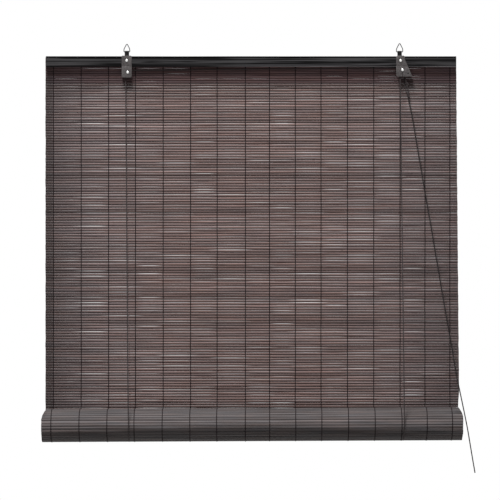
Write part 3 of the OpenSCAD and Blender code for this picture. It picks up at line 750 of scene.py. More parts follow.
def mat_shade(row):
    """Tone of a row of the hung mat: painted shade on tight rows, on the first ones under the hem and a
    little on its upper part; some rows are paler or darker by themselves.
    """
    tight = TIGHT_TONE if among(row, TIGHT_ROWS) else 1.0
    first = min(1.0, FIRST_TONE + FIRST_GAIN * row)
    upper = min(1.0, UPPER_TONE + UPPER_GAIN * row)
    return tight * ROW_TONES.get(row, 1.0) * first * upper


def hem_light(row):
    """Tone of a row of the hem: painted light makes it paler in the headrail's shadow than at its lower edge.
    """
    return max(HEM_LEAST_TONE, HEM_TONE - HEM_LOSS * row)


# How far a slat slides along its row, and how far it bows to the front or back
SLIDE = 0.5 * MM
BOW = 0.16 * MM


def stack(bm, rows, top, pitch, mid, seed, gaps, shade):
    """Rows of slats one below the other, each with its own waver, gaps and tone, with painted shade along its
    edges and painted light on its upper half.
    """
    layer = bm.verts.layers.float.get("tone") or bm.verts.layers.float.new("tone")
    blank = slat_blank(pitch, slat_places())
    for row in range(rows):
        start = len(bm.verts)
        bm.from_mesh(blank)
        bm.verts.ensure_lookup_table()
        tone = tone_of(row, seed) * shade(row)
        slide = SLIDE * row_value(row, seed + 9)
        heights = {}
        for v in bm.verts[start:]:
            x = v.co.x
            key = round(x, 5)
            if key not in heights:
                high = edge_at(x, row, top, pitch) - gaps(x, row) / 2 if row else top - LEAST_GAP
                low = edge_at(x, row + 1, top, pitch) + gaps(x, row + 1) / 2
                if row == rows - 1:
                    low = top - rows * pitch + LEAST_GAP
                heights[key] = (high, low, BOW * wobble(x * 0.4, row, seed + 1.3))
            high, low, bow = heights[key]
            share = v.co.z / pitch + 0.5
            z = low + (high - low) * share
            side = side_tone(x, way_down(z))
            # Painted shade along the slat's edges and painted light on its upper half, except on the left
            # strip
            v[layer] = tone * side * (edge_shade(share) if side > STRIP_TONE else STRIP_EDGE_TONE)
            v.co = Vector((x + slide + end_shift(x, z), mid + v.co.y + bow, z))
    bpy.data.meshes.remove(blank)


class BLIND_OT_hung_mat(bpy.types.Operator):
    """Slats of the hung mat, each of its own height, with gaps that let light through"""

    bl_idname = "blind.hung_mat"
    bl_label = "Hung mat"

    def execute(self, context):
        rows, pitch = mat_rows()
        lines = yarn_lines()

        def gaps(x, row):
            return gap_at(x, row, rows, lines)

        bm = bmesh.new()
        stack(bm, rows, MAT_HIGH.z, pitch, MAT_MID, 2.3, gaps, mat_shade)
        obj = piece("mat_slats", bm, ["mat"], "headrail", "hung_slats", smooth=80)
        hung_squash(obj)
        return {"FINISHED"}


class BLIND_OT_hem(bpy.types.Operator):
    """Hem at the top: the mat folded back on itself behind the headrail"""

    bl_idname = "blind.hem"
    bl_label = "Hem"

    def execute(self, context):
        rows, pitch = hem_rows()
        lines = yarn_lines()

        def gaps(x, row):
            return hem_gap_at(x, row, lines)

        bm = bmesh.new()
        stack(bm, rows, HEM_TOP, pitch, MAT_MID, 7.7, gaps, hem_light)
        stack(bm, rows, HEM_TOP + HEM_BACK_RISE, pitch, HEM_BACK_MID, 8.9, gaps, hem_light)
        absorb(bm, self.fold())
        piece("hem_slats", bm, ["hem"], "headrail", "top_hem", smooth=80)
        return {"FINISHED"}

    def fold(self):
        """The slat that lies across the top, from the front leaf to the rear one."""
        ends = [-WIDTH / 2, WIDTH / 2 + end_shift(WIDTH / 2, HEM_HIGH.z)]
        fold = bmesh.new()
        fold.from_mesh(slat_blank(HEM_HIGH.y - HEM_LOW.y, ends))
        layer = fold.verts.layers.float.new("tone")
        place = Matrix.Translation((0, (HEM_LOW.y + HEM_HIGH.y) / 2, HEM_HIGH.z - SLAT_T / 2))
        bmesh.ops.transform(fold, matrix=place @ Matrix.Rotation(math.pi / 2, 4, "X"), verts=fold.verts)
        for v in fold.verts:
            v[layer] = 1
        return fold


# Roll

# How far the roll's left and right ends stand out at its face to the room, and how far they draw in towards
# its top, from which share of its radius up and by which power
ROLL_ENDS_OUT = (2.9 * MM, 5.0 * MM)
ROLL_ENDS_IN = (9.0 * MM, 7.4 * MM)
ROLL_IN_SHARE = 0.45
ROLL_IN_POWER = 1.6
# Angles wound, in radians, where the painted light on the roll's face to the room starts, is brightest and
# ends
ROLL_LIT_FROM, ROLL_LIT_AT, ROLL_LIT_TO = 2.92, 3.12, 4.1
# How much lower the painted light starts at the roll's ends
ROLL_LIT_BOW = 0.34
# Tones of the painted shade below the lit face and of the painted light at its brightest
ROLL_UNDER_SHADE = 0.88
ROLL_LIT_TONE = 2.2
# The slings draw the roll a little taller than deep and lift it, most at its right end
ROLL_TALL = 1.07
ROLL_RISE = 1.2 * MM
ROLL_TILT = 0.0046
# Between the rod and the first turn
ROD_GAP = 0.3 * MM
ROD_EASE = 0.8 * MM
# How far the wound slats slide, slowly from turn to turn and from one to the next, and how far they bow
ROLL_DRIFT = 1.4 * MM
ROLL_SLIDE = 0.5 * MM
ROLL_BOW = 0.1 * MM
# Share of its pitch that a wound slat fills, its play from slat to slat and its waver along a slat
FILL_SHARE = 0.965
FILL_PLAY_SHARE = 0.02
FILL_WAVER_SHARE = 0.012


def settled(place, tall=ROLL_TALL):
    """Place on the roll as it sits in its slings."""
    lift = ROLL_RISE + ROLL_TILT * place.x
    return Vector((place.x, place.y, ROLL_AXIS.z + (place.z - ROLL_AXIS.z) * tall + lift))


def painted_roll_light(angle, x):
    """Painted light by the place on the roll: paler on the face to the room, with painted shade below it."""
    bow = ROLL_LIT_BOW * (2 * x / WIDTH) ** 2
    start, most = ROLL_LIT_FROM - bow, ROLL_LIT_AT - bow
    if angle < start:
        return ROLL_UNDER_SHADE
    if angle < most:
        return ROLL_UNDER_SHADE + (ROLL_LIT_TONE - ROLL_UNDER_SHADE) * (angle - start) / (most - start)
    if angle < ROLL_LIT_TO:
        return 1 + (ROLL_LIT_TONE - 1) * (ROLL_LIT_TO - angle) / (ROLL_LIT_TO - most)
    return 1.0


def end_stand(x, z):
    """How far a slat's end stands out from the mat's side, by its height on the roll."""
    past = max(0.0, (abs(x) - WIDTH / 2 + END_STRIP) / END_STRIP)
    high = max(0.0, (z - ROLL_AXIS.z) / roll_radius() - ROLL_IN_SHARE) / (1 - ROLL_IN_SHARE)
    side = 0 if x < 0 else 1
    return math.copysign(past, x) * (ROLL_ENDS_OUT[side] - ROLL_ENDS_IN[side] * high**ROLL_IN_POWER)


def roll_radius():
    """Radius at which the mat goes on to the roll, from the area that it takes up when wound."""
    s = sizes()
    core = ROD_R + ROD_GAP + SLAT_T / 2
    return math.sqrt(core**2 + s.layer * s.wound * s.pitch / math.pi)


def wound_angle(length):
    """Angle wound, from the back and down, after a length of mat."""
    s, r = sizes(), roll_radius()
    return 2 * math.pi * (r - math.sqrt(r * r - s.layer * length / math.pi)) / s.layer


def wound_place(row):
    """Middle of a row in the roll, the directions out and back along the mat, and the angle wound."""
    angle = wound_angle((row + 0.5) * sizes().pitch)
    radius = roll_radius() - sizes().layer * angle / (2 * math.pi)
    out = Vector((0, math.cos(angle), -math.sin(angle)))
    back = Vector((0, math.sin(angle), math.cos(angle)))
    return ROLL_AXIS + out * radius, out, back, angle


class BLIND_OT_roll(bpy.types.Operator):
    """Lower part of the mat, wound slat by slat round its rod"""

    bl_idname = "blind.roll"
    bl_label = "Roll"

    def execute(self, context):
        s = sizes()
        bm = bmesh.new()
        layer = bm.verts.layers.float.new("tone")
        fine, plain = slat_blank(s.pitch, slat_places()), slat_blank(s.pitch, [-WIDTH / 2, WIDTH / 2])
        for row in range(s.wound):
            centre, out, back, angle = wound_place(row)
            start = len(bm.verts)
            bm.from_mesh(fine if row < s.outer else plain)
            bm.verts.ensure_lookup_table()
            tone = tone_of(row, 5.1)
            slide = ROLL_DRIFT * row_value(row * 0.25, 2.2) + ROLL_SLIDE * row_value(row * 3.7, 6.1)
            fill = FILL_SHARE + FILL_PLAY_SHARE * row_value(row, 3.3)
            for v in bm.verts[start:]:
                x = v.co.x
                bow = ROLL_BOW * wobble(x * 0.5, row, 2.9)
                wide = fill + FILL_WAVER_SHARE * wobble(x, row, 4.4)
                place = centre + out * (v.co.y + bow) + back * (v.co.z * wide)
                v.co = settled(Vector((x + slide + end_stand(x, place.z), place.y, place.z)))
                # Painted light on the roll's face to the room and painted shade below it
                v[layer] = tone * painted_roll_light(angle, x)
        piece("roll_slats", bm, ["roll"], "roll", "rolled_slats", smooth=80)
        self.rod()
        return {"FINISHED"}

    def rod(self):
        bm = bmesh.new()
        length = ROD_HIGH.x - ROD_LOW.x
        along = Matrix.Translation(ROLL_AXIS) @ Matrix.Rotation(math.pi / 2, 4, "Y")
        bmesh.ops.create_cone(
            bm, cap_ends=True, segments=40, radius1=ROD_R, radius2=ROD_R, depth=length, matrix=along
        )
        long_edges = lengthwise(bm, length)
        ease(bm, [e for e in bm.edges if e not in long_edges], ROD_EASE, 3)
        for v in bm.verts:
            v.co = settled(v.co, 1)
        piece("roll_rod", bm, ["rod"], "roll", "bottom_rod")


# Yarns

# Share of its width that a yarn keeps between two slats, and how far it sways
YARN_DIP_SHARE = 0.68
YARN_SWAY = 0.35 * MM
# Share of a turn that the yarns go round the roll, and of their thickness that they dip there
RING_SHARE = 0.92
RING_DIP_SHARE = 0.35


def yarn_line(bm, places, outs, line, x, seed):
    """One yarn over a run of slats: it stands out over each slat and dips between two."""
    s = sizes()
    count = len(places)
    across = [s.yarn_w / 2 * (1 if i % 2 else YARN_DIP_SHARE) for i in range(count)]
    deep = [s.yarn_t / 2] * count
    sway = [YARN_SWAY * noise.noise(Vector((i * 0.11, line * 3.3 + 0.4, seed))) for i in range(count)]
    route = [place + Vector((x + d, 0, 0)) for place, d in zip(places, sway)]
    tube(bm, route, across, deep, 6, outs)


def flat_places(top, rows, pitch, face, out):
    """Middles of a yarn down one face of a stack of rows."""
    t = sizes().yarn_t
    dip = [(-0.5 if i % 2 == 0 else 0.5) * t for i in range(2 * rows + 1)]
    return [Vector((0, face + out * d, top - i * pitch / 2)) for i, d in enumerate(dip)]


class BLIND_OT_yarns(bpy.types.Operator):
    """Yarn lines that bind the slats, on both faces of the mat and round the roll"""

    bl_idname = "blind.yarns"
    bl_label = "Yarns"

    def execute(self, context):
        bm, hem = bmesh.new(), bmesh.new()
        for out, face, hem_face in ((-1, MAT_LOW.y, HEM_LOW.y), (1, MAT_HIGH.y, HEM_HIGH.y)):
            normal = Vector((0, out, 0))
            places = flat_places(MAT_HIGH.z, *mat_rows(), face, out)
            hem_places = flat_places(HEM_TOP, *hem_rows(), hem_face, out)
            for line, x in enumerate(yarn_lines()):
                yarn_line(bm, places, [normal] * len(places), line, x, 1.5)
                yarn_line(hem, hem_places, [normal] * len(hem_places), line, x, 2.5)
        recalc(bm)
        recalc(hem)
        obj = piece("mat_yarns", bm, ["yarn"], "headrail", "hung_yarns", smooth=60)
        hung_squash(obj)
        piece("hem_yarn_lines", hem, ["yarn"], "headrail", "hem_yarns", smooth=60)
        self.round_the_roll()
        return {"FINISHED"}

    def round_the_roll(self):
        s = sizes()
        places, outs = [], []
        row = 0
        while wound_place(row)[3] < 2 * math.pi * RING_SHARE:
            centre, out, back, _ = wound_place(row)
            places.append(centre + out * (SLAT_T / 2 - s.yarn_t * RING_DIP_SHARE) + back * (s.pitch / 2))
            places.append(centre + out * (SLAT_T / 2 + s.yarn_t / 2))
            outs += [out, out]
            row += 1
        bm = bmesh.new()
        for line, x in enumerate(yarn_lines()):
            yarn_line(bm, places, outs, line, x, 3.5)
        for v in bm.verts:
            v.co = settled(v.co)
        recalc(bm)
        piece("roll_yarn_rings", bm, ["yarn"], "roll", "roll_yarns", smooth=60)


# Cords

# Knots: points of their line, its reach and rise, its share of the cord's thickness, and the core inside it
KNOT_POINTS = 49
KNOT_REACH = 1.35 * MM
KNOT_RISE = 1.7 * MM
KNOT_CORD_SHARE = 0.85
KNOT_CORE = (1.5 * MM, 1.5 * MM, 2.9 * MM)
# Pull cord below its knot, as shares of the way to the blind's side and down to the roll's axis
PULL_SHARES = (
    (0, 0), (0, 0.008), (0.03, 0.024), (0.07, 0.055), (0.115, 0.095), (0.18, 0.155), (0.25, 0.215),
    (0.32, 0.28), (0.39, 0.34), (0.46, 0.4), (0.53, 0.465), (0.6, 0.525), (0.67, 0.59), (0.74, 0.65),
    (0.81, 0.71), (0.88, 0.77), (0.95, 0.835), (1.03, 0.895), (1.12, 0.96), (1.18, 1.005),
    (1.235, 1.055), (1.29, 1.105), (1.335, 1.144),
)
PULL_FORWARD = 6 * MM
PULL_BEND = 14 * MM
# Between the knot and the pull cord's upper end
PULL_GAP = 0.05 * MM
# How far the slings are drawn in against the roll, and the shares by which they widen and flatten there
SLING_TUCK = 0.9 * MM
SLING_WIDER_SHARE = 0.2
SLING_FLATTER_SHARE = 0.4
# How fast a cord presses on to the roll from the level of its axis
PRESS_RATE = 2.2
# Bend of the cords between the lock and the knot below it
TAIL_BEND = 9 * MM
# Steps along the lift cords' front and back runs and round their slings
FRONT_STEPS, BACK_STEPS, SLING_STEPS = 32, 40, 32
# Angles round the roll, in degrees, at which a front run can bend
BEND_ANGLES = range(0, 61, 3)


def knot_route(place):
    """Line of an overhand knot about a place."""
    route = []
    for i in range(KNOT_POINTS):
        t = 2 * math.pi * i / KNOT_POINTS
        x = KNOT_REACH * (math.sin(t) + 2 * math.sin(2 * t)) / 3
        y = KNOT_REACH * (math.cos(t) - 2 * math.cos(2 * t)) / 3
        route.append(place + Vector((x, y, -KNOT_RISE * math.sin(3 * t))))
    return route


def knot(name, place, node, key):
    bm = bmesh.new()
    cord_tube(bm, knot_route(place), sizes().cord * KNOT_CORD_SHARE, 8)
    core = Matrix.Translation(place) @ Matrix.Diagonal((*KNOT_CORE, 1))
    bmesh.ops.create_icosphere(bm, subdivisions=2, radius=1, matrix=core)
    recalc(bm)
    return piece(name, bm, [key], "headrail", node, smooth=70)


class BLIND_OT_pull_cord(bpy.types.Operator):
    """Pull cord that slants down to the right from the knot below the lock"""

    bl_idname = "blind.pull_cord"
    bl_label = "Pull cord"

    def execute(self, context):
        thick = sizes().pull
        side, down = WIDTH / 2 - JOIN.x, JOIN.z - ROLL_AXIS.z
        start = JOIN - Vector((0, 0, KNOT_H / 2 + PULL_GAP))
        points = [start + Vector((a * side, -b * PULL_FORWARD, -b * down)) for a, b in PULL_SHARES]
        path = rounded_route(points, PULL_BEND, 4)
        bm = bmesh.new()
        cord_tube(bm, path, thick)
        recalc(bm)
        obj = piece("pull_cord_line", bm, ["cord"], "headrail", "pull_cord", smooth=60)
        end = knot("cord_join_knot", JOIN, "join_knot", "cord")
        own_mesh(obj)
        return {"FINISHED"}


def pressed(angle):
    """How far a cord has come on to the roll, by the angle round it from the level of its axis."""
    return min(1.0, PRESS_RATE * math.sin(angle))


def front_route(top, low):
    """Route of a lift cord from its pulley to the roll's face. Its lower part bends, so that it lies on the
    roll when the roll is at the top of its travel."""
    keep = lift_keep(top.z)
    bends, slopes = [], []
    for degrees in BEND_ANGLES:
        a = math.radians(degrees)
        place = Vector((low.x, ROLL_AXIS.y - SLING_R * math.cos(a), ROLL_AXIS.z + SLING_R * math.sin(a)))
        place = place.lerp(settled(place), pressed(a))
        fall = top.z - place.z - ROLL_TRAVEL
        slopes.append((top.y - place.y) / fall)
        share = fall / keep / (top.z - low.z)
        bends.append(Vector((top.x + (low.x - top.x) * share, place.y, top.z - fall / keep)))
    last = slopes.index(max(slopes))
    return even(top, bends[last], FRONT_STEPS) + bends[:last][::-1]


def wrap(axle, groove, start, end, steps):
    """Cord round a pulley, by angle in degrees from +X towards +Z."""
    route = []
    for i in range(steps + 1):
        a = math.radians(start + (end - start) * i / steps)
        route.append(Vector((axle.x + CORD_WRAP * math.cos(a), groove, axle.z + CORD_WRAP * math.sin(a))))
    return route


class BLIND_OT_lift_cords(bpy.types.Operator):
    """Lift cords: down before the mat, under the roll, up behind it, and along the headrail to the lock"""

    bl_idname = "blind.lift_cords"
    bl_label = "Lift cords"

    def execute(self, context):
        for hand, axle, groove, low_x in (
            ("left", LEFT_AXLE, LEFT_AXLE.y, LEFT_SLING_X), ("right", LOCK_AXLE, FRONT_GROOVE, RIGHT_SLING_X)
        ):
            x = axle.x - CORD_WRAP
            low = Vector((low_x, ROLL_AXIS.y - SLING_R, ROLL_AXIS.z))
            ahead = front_route(Vector((x, groove, axle.z)), low)
            self.run(hand + "_front_run", ahead, hand + "_front_cord")
            low = Vector((low_x, ROLL_AXIS.y + SLING_R, ROLL_AXIS.z))
            behind = even(Vector((x, KNOT.y, KNOT.z - KNOT_H / 2)), low, BACK_STEPS)
            self.run(hand + "_back_run", behind, hand + "_back_cord")
            self.sling(hand, low_x)
            knot(hand + "_back_knot", Vector((x, KNOT.y, KNOT.z)), hand + "_knot", "lift")
        self.tails()
        return {"FINISHED"}

    def line(self, name, route, node):
        bm = bmesh.new()
        cord_tube(bm, route, sizes().cord)
        recalc(bm)
        return piece(name, bm, ["lift"], "headrail", node, smooth=60)

    def run(self, name, route, node):
        hung_squash(self.line(name, route, node))

    def sling(self, hand, x):
        """Half a turn under the roll, where the cord flattens."""
        half = sizes().cord / 2
        under, outs, across, deep = [], [], [], []
        for i in range(SLING_STEPS + 1):
            a = math.pi * i / SLING_STEPS
            flat = pressed(a)
            outs.append(Vector((0, math.cos(a), -math.sin(a))))
            place = ROLL_AXIS + Vector((x, 0, 0)) + outs[-1] * (SLING_R - SLING_TUCK * flat)
            under.append(place.lerp(settled(place, 1), flat))
            across.append(half * (1 + SLING_WIDER_SHARE * flat))
            deep.append(half * (1 - SLING_FLATTER_SHARE * flat))
        bm = bmesh.new()
        tube(bm, under, across, deep, 10, outs)
        recalc(bm)
        piece(hand + "_sling", bm, ["lift"], "lift_loops", hand + "_bight", smooth=60)

    def tails(self):
        """Both cords over the lock's pulley and down to the knot, the left one from along the headrail."""
        half = sizes().cord / 2
        out = LOCK_AXLE.x + CORD_WRAP
        halfway = (LOCK_END + JOIN.z) / 2
        top = JOIN.z + KNOT_H / 2
        along = wrap(LEFT_AXLE, LEFT_AXLE.y, 180, 90, 6)
        over = wrap(LOCK_AXLE, REAR_GROOVE, 90, 0, 6)
        corners = [
            over[-1], Vector((out, REAR_GROOVE, LOCK_END)), Vector((out + half, REAR_GROOVE, halfway)),
            Vector((JOIN.x - half, JOIN.y + half, top)),
        ]
        tail = rounded_route(corners, TAIL_BEND)
        self.line("cross_run", along + even(along[-1], over[0], 10)[1:-1] + over + tail[1:], "cross_cord")
        over = wrap(LOCK_AXLE, FRONT_GROOVE, 180, 0, 12)
        corners = [
            over[-1], Vector((out, FRONT_GROOVE, LOCK_END)),
            Vector((JOIN.x - 2 * half, FRONT_GROOVE, halfway)), Vector((JOIN.x, JOIN.y - half, top)),
        ]
        tail = rounded_route(corners, TAIL_BEND)
        self.line("lock_run", over + tail[1:], "lock_cord")


# Headrail and metalwork

# How far the headrail stops short of the frame's at its left and right ends
RAIL_SHORT_LEFT = 1.5 * MM
RAIL_SHORT_RIGHT = 4 * MM
# How far its ends and long edges are eased, and how far its edges stray from straight
RAIL_END_EASE = 0.4 * MM
RAIL_EASE = 0.7 * MM
RAIL_WAVER = 0.25 * MM
# Hangers: how far their edges are eased, and how far above the headrail their necks start
HANGER_EASE = 0.22 * MM
NECK_ABOVE = 0.4 * MM
# Rivets: height of the head, radius of the shank, and radius and height of the closed end
HEAD_H = 1.8 * MM
SHANK_R = 1.5 * MM
TAIL_R = 2.5 * MM
TAIL_H = 0.9 * MM
HEAD_STEPS = 11
# Wire loops: radius of the wire, radius of its bends, and heights of their corners above the bar
WIRE_R = 0.85 * MM
WIRE_BEND = 3.4 * MM
ELBOW_UP = 1.8 * MM
BELLY_UP = 6 * MM
# Half of the gap between the wire's ends in the bar, and half the width of the loop's tip
WIRE_END_GAP = 0.1 * MM
TIP_W = 0.15 * MM
# Shares of a loop's half width where its bar ends and at its belly
BAR_SHARE = 0.9
BELLY_SHARE = 0.96
# Each loop's piece, node and body, and how much wider at each side and taller it is than the frame's
LOOPS = (
    ("left_wire", "left_loop", "left_loop", 0.3 * MM, 1.5 * MM),
    ("lock_wire", "lock_loop", "right_loop", 0.8 * MM, 2.9 * MM),
)


class BLIND_OT_headrail(bpy.types.Operator):
    """Black wooden headrail with eased edges"""

    bl_idname = "blind.headrail"
    bl_label = "Headrail"

    def execute(self, context):
        low = RAIL_LOW + Vector((RAIL_SHORT_LEFT, 0, -RAIL_DEEPER))
        high = RAIL_HIGH - Vector((RAIL_SHORT_RIGHT, 0, 0))
        size = high - low
        bm = bmesh.new()
        place = Matrix.Translation((low + high) / 2) @ Matrix.Diagonal((*size, 1))
        bmesh.ops.create_cube(bm, size=1, matrix=place)
        long_edges = lengthwise(bm, size.x)
        ease(bm, [e for e in bm.edges if e not in long_edges], RAIL_END_EASE, 2)
        ease(bm, lengthwise(bm, size.x), RAIL_EASE, 3)
        bmesh.ops.subdivide_edges(bm, edges=lengthwise(bm, size.x), cuts=80, use_grid_fill=True)
        for v in bm.verts:
            v.co.z += RAIL_WAVER * noise.noise(Vector((v.co.x * 7, 0.3, 1.1)))
        piece("rail", bm, ["rail"], "headrail", "headrail")
        return {"FINISHED"}


def eased_copy(node, offset, angle=30):
    """Copy of a frame node with its doubles merged, flat faces joined and sharp edges eased."""
    bm = bmesh.new()
    bm.from_mesh(frame["nodes"][node].data)
    bmesh.ops.remove_doubles(bm, verts=bm.verts, dist=0.002 * MM)
    bmesh.ops.dissolve_limit(bm, angle_limit=math.radians(1), verts=bm.verts, edges=bm.edges)
    sharp = [e for e in bm.edges if len(e.link_faces) == 2 and e.calc_face_angle() > math.radians(angle)]
    ease(bm, sharp, offset, 2, clamp=True)
    return bm


class BLIND_OT_hangers(bpy.types.Operator):
    """Folded sheet-metal hangers, with eased edges and dark necks"""

    bl_idname = "blind.hangers"
    bl_label = "Hangers"

    def execute(self, context):
        for name, node in (("left_strap", "left_hanger"), ("lock_case", "lock_hanger")):
            bm = eased_copy(node, HANGER_EASE)
            for face in bm.faces:
                # Faces above the headrail take the dark finish
                if face.calc_center_median().z > RAIL_HIGH.z + NECK_ABOVE:
                    face.material_index = 1
            piece(name, bm, ["sheet", "neck"], "headrail", node, smooth=40)
        return {"FINISHED"}


class BLIND_OT_rivets(bpy.types.Operator):
    """Bright domed rivets through the hangers"""

    bl_idname = "blind.rivets"
    bl_label = "Rivets"

    def execute(self, context):
        for name, node in (
            ("left_top_rivet", "left_fixing_rivet"), ("left_pulley_rivet", "left_axle"),
            ("lock_top_rivet", "lock_fixing_rivet"), ("lock_pulley_rivet", "lock_axle"),
        ):
            self.rivet(name, node)
        return {"FINISHED"}

    def rivet(self, name, node):
        low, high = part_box(node)
        centre = (low + high) / 2
        head_r = (high.x - low.x) / 2
        front, under, back, seat = low.y, low.y + HEAD_H, high.y, high.y - TAIL_H
        profile = [(0, front)]
        for i in range(1, HEAD_STEPS):
            a = math.pi / 2 * i / HEAD_STEPS
            profile.append((head_r * math.sin(a), front + HEAD_H * (1 - math.cos(a))))
        profile += [
            (head_r, front + HEAD_H * 0.96), (head_r * 0.98, under), (SHANK_R, under), (SHANK_R, seat),
            (TAIL_R * 0.96, seat), (TAIL_R, back - TAIL_H * 0.7), (TAIL_R * 0.9, back - TAIL_H * 0.15),
            (TAIL_R * 0.6, back), (0, back),
        ]
        bm = bmesh.new()
        layer = bm.verts.layers.float.new("rim")
        verts = [bm.verts.new((centre.x + r, y, centre.z)) for r, y in profile]
        # Share out to the head's edge, which carries painted shade at the rim
        for v, (r, _) in zip(verts, profile):
            v[layer] = r / head_r
        edges = [bm.edges.new(pair) for pair in zip(verts, verts[1:])]
        bmesh.ops.spin(
            bm, geom=verts + edges, cent=centre, axis=(0, 1, 0), angle=2 * math.pi, steps=28, use_merge=True
        )
        bmesh.ops.remove_doubles(bm, verts=bm.verts, dist=0.001 * MM)
        recalc(bm)
        piece(name, bm, ["rivet"], "headrail", node, smooth=35)


class BLIND_OT_loops(bpy.types.Operator):
    """Wire loops bent to rounded triangles, each with its bar in a hanger's fold"""

    bl_idname = "blind.loops"
    bl_label = "Wire loops"

    def execute(self, context):
        for name, node, body, spread, rise in LOOPS:
            low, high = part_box(node)
            centre, bar, tip = (low.x + high.x) / 2, low.z + WIRE_R, high.z - WIRE_R + rise
            wide = (high.x - low.x) / 2 - WIRE_R + spread
            half = [
                (WIRE_END_GAP, bar), (BAR_SHARE * wide, bar), (wide, bar + ELBOW_UP),
                (BELLY_SHARE * wide, bar + BELLY_UP), (TIP_W, tip),
            ]
            corners = half + [(-x, z) for x, z in half[-2::-1]]
            route = rounded_route([Vector((centre + x, 0, z)) for x, z in corners], WIRE_BEND, 9)
            bm = bmesh.new()
            cord_tube(bm, route, 2 * WIRE_R, 14)
            recalc(bm)
            piece(name, bm, ["wire"], body, node, smooth=50)
        return {"FINISHED"}


class BLIND_OT_lock_works(bpy.types.Operator):
    """Pulleys, cam, pin and staples, which keep the frame's own shapes"""

    bl_idname = "blind.lock_works"
    bl_label = "Pulleys, cam and staples"

    def execute(self, context):
        for node, key in (
            ("left_pulley", "pulley"), ("lock_pulley", "pulley"), ("lock_cam", "brass"),
            ("lock_cam_pin", "neck"), ("staples", "staple"),
        ):
            materials = frame["nodes"][node].data.materials
            materials.clear()
            materials.append(finish_for(key))
        return {"FINISHED"}


# Camera, light and floor

# Camera: its distance from the mat, the width that it sees there, its place and the width of its sensor
CAMERA_AWAY = 4.6
CAMERA_SPAN = 0.97
CAMERA_X, CAMERA_Z = -3.3 * MM, -398 * MM
SENSOR_WIDTH = 36
FLOOR_R = 1.2
FLOOR_Z = -1.9
# Lamps: name, place, what each points at, size and power
LAMPS = (
    ("key", (-0.65, -1.55, 3.6), (0, 0, -0.45), 1.4, 300),
    ("rear", (0.5, 2.6, 0.9), (0, 0, -0.4), 2.0, 45),
)
SURROUND_LEVEL = 0.18


class BLIND_OT_camera(bpy.types.Operator):
    """Camera straight in front of the blind, at about half its height"""

    bl_idname = "blind.camera"
    bl_label = "Camera"

    def execute(self, context):
        data = bpy.data.cameras.new("front camera")
        data.sensor_width = SENSOR_WIDTH
        data.lens = SENSOR_WIDTH * CAMERA_AWAY / CAMERA_SPAN
        data.clip_end = 50
        camera = bpy.data.objects.new("front camera", data)
        camera.location = (CAMERA_X, MAT_MID - CAMERA_AWAY, CAMERA_Z)
        camera.rotation_euler = (math.pi / 2, 0, 0)
        context.scene.collection.objects.link(camera)
        context.scene.camera = camera
        return {"FINISHED"}


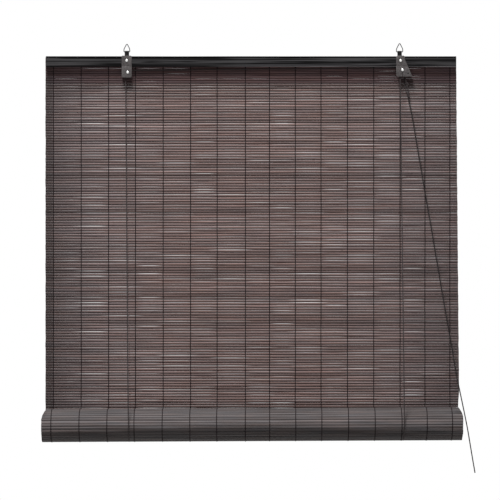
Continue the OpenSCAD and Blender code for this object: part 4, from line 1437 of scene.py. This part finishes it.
class BLIND_OT_stage(bpy.types.Operator):
    """Pale floor below, soft light from above and a white surround"""

    bl_idname = "blind.stage"
    bl_label = "Stage"

    def execute(self, context):
        context.scene.view_settings.view_transform = "Standard"
        self.floor(context.scene)
        for lamp in LAMPS:
            self.lamp(context.scene, *lamp)
        self.surround(context.scene)
        return {"FINISHED"}

    def floor(self, scene):
        bm = bmesh.new()
        place = Matrix.Translation((0, 0, FLOOR_Z))
        bmesh.ops.create_circle(bm, cap_ends=True, segments=96, radius=FLOOR_R, matrix=place)
        mesh = bpy.data.meshes.new("floor")
        bm.to_mesh(mesh)
        bm.free()
        material, shader, add = finish("Pale floor")
        grain = stretched_noise(add, (40, 40, 40), 3)
        tint(shader, add, tuple(colours().floor), ranged(add, grain, 0.3, 0.7, 0.98, 1.02))
        shader.inputs["Roughness"].default_value = 0.9
        mesh.materials.append(material)
        floor = bpy.data.objects.new("floor", mesh)
        scene.collection.objects.link(floor)

    def lamp(self, scene, name, place, target, size, power):
        data = bpy.data.lights.new(name, "AREA")
        data.energy, data.size, data.shape = power, size, "DISK"
        lamp = bpy.data.objects.new(name, data)
        lamp.location = place
        lamp.rotation_euler = (Vector(target) - Vector(place)).to_track_quat("-Z", "Y").to_euler()
        scene.collection.objects.link(lamp)

    def surround(self, scene):
        """White where the camera and mirror rays see it, and a plain level of light elsewhere."""
        world = bpy.data.worlds.new("surround")
        scene.world = world
        world.use_nodes = True
        tree = world.node_tree
        path = tree.nodes.new("ShaderNodeLightPath")
        seen = path.outputs["Is Camera Ray"]
        for other in ("Is Glossy Ray", "Is Transmission Ray"):
            larger = tree.nodes.new("ShaderNodeMath")
            larger.operation = "MAXIMUM"
            tree.links.new(seen, larger.inputs[0])
            tree.links.new(path.outputs[other], larger.inputs[1])
            seen = larger.outputs[0]
        strength = tree.nodes.new("ShaderNodeMapRange")
        strength.inputs["To Min"].default_value = SURROUND_LEVEL
        tree.links.new(seen, strength.inputs["Value"])
        back = tree.nodes["Background"]
        back.inputs["Color"].default_value = (1, 1, 1, 1)
        tree.links.new(strength.outputs["Result"], back.inputs["Strength"])


class BLIND_PT_panel(bpy.types.Panel):
    """Lists the blind's pieces, sizes and colours"""

    bl_idname = "BLIND_PT_panel"
    bl_label = "Roll-up blind"
    bl_space_type = "VIEW_3D"
    bl_region_type = "UI"
    bl_category = "Blind"

    def draw(self, context):
        for operator in OPERATORS:
            self.layout.operator(operator.bl_idname)
        for group in (context.scene.blind_sizes, context.scene.blind_colours):
            column = self.layout.column(align=True)
            for key in group.__annotations__:
                column.prop(group, key)


OPERATORS = (
    BLIND_OT_camera, BLIND_OT_pull_cord, BLIND_OT_lift_cords, BLIND_OT_hung_mat, BLIND_OT_hem, BLIND_OT_roll,
    BLIND_OT_yarns, BLIND_OT_headrail, BLIND_OT_hangers, BLIND_OT_rivets, BLIND_OT_loops, BLIND_OT_lock_works,
    BLIND_OT_stage,
)
CLASSES = (BlindSizes, BlindColours, *OPERATORS, BLIND_PT_panel)


def register():
    for cls in CLASSES:
        bpy.utils.register_class(cls)
    bpy.types.Scene.blind_sizes = bpy.props.PointerProperty(type=BlindSizes)
    bpy.types.Scene.blind_colours = bpy.props.PointerProperty(type=BlindColours)


def unregister():
    del bpy.types.Scene.blind_colours
    del bpy.types.Scene.blind_sizes
    for cls in reversed(CLASSES):
        bpy.utils.unregister_class(cls)


def main():
    register()
    for operator in OPERATORS:
        group, name = operator.bl_idname.split(".")
        if getattr(getattr(bpy.ops, group), name)() != {"FINISHED"}:
            raise RuntimeError(operator.bl_label + " did not finish")


if __name__ == "__main__":
    main()
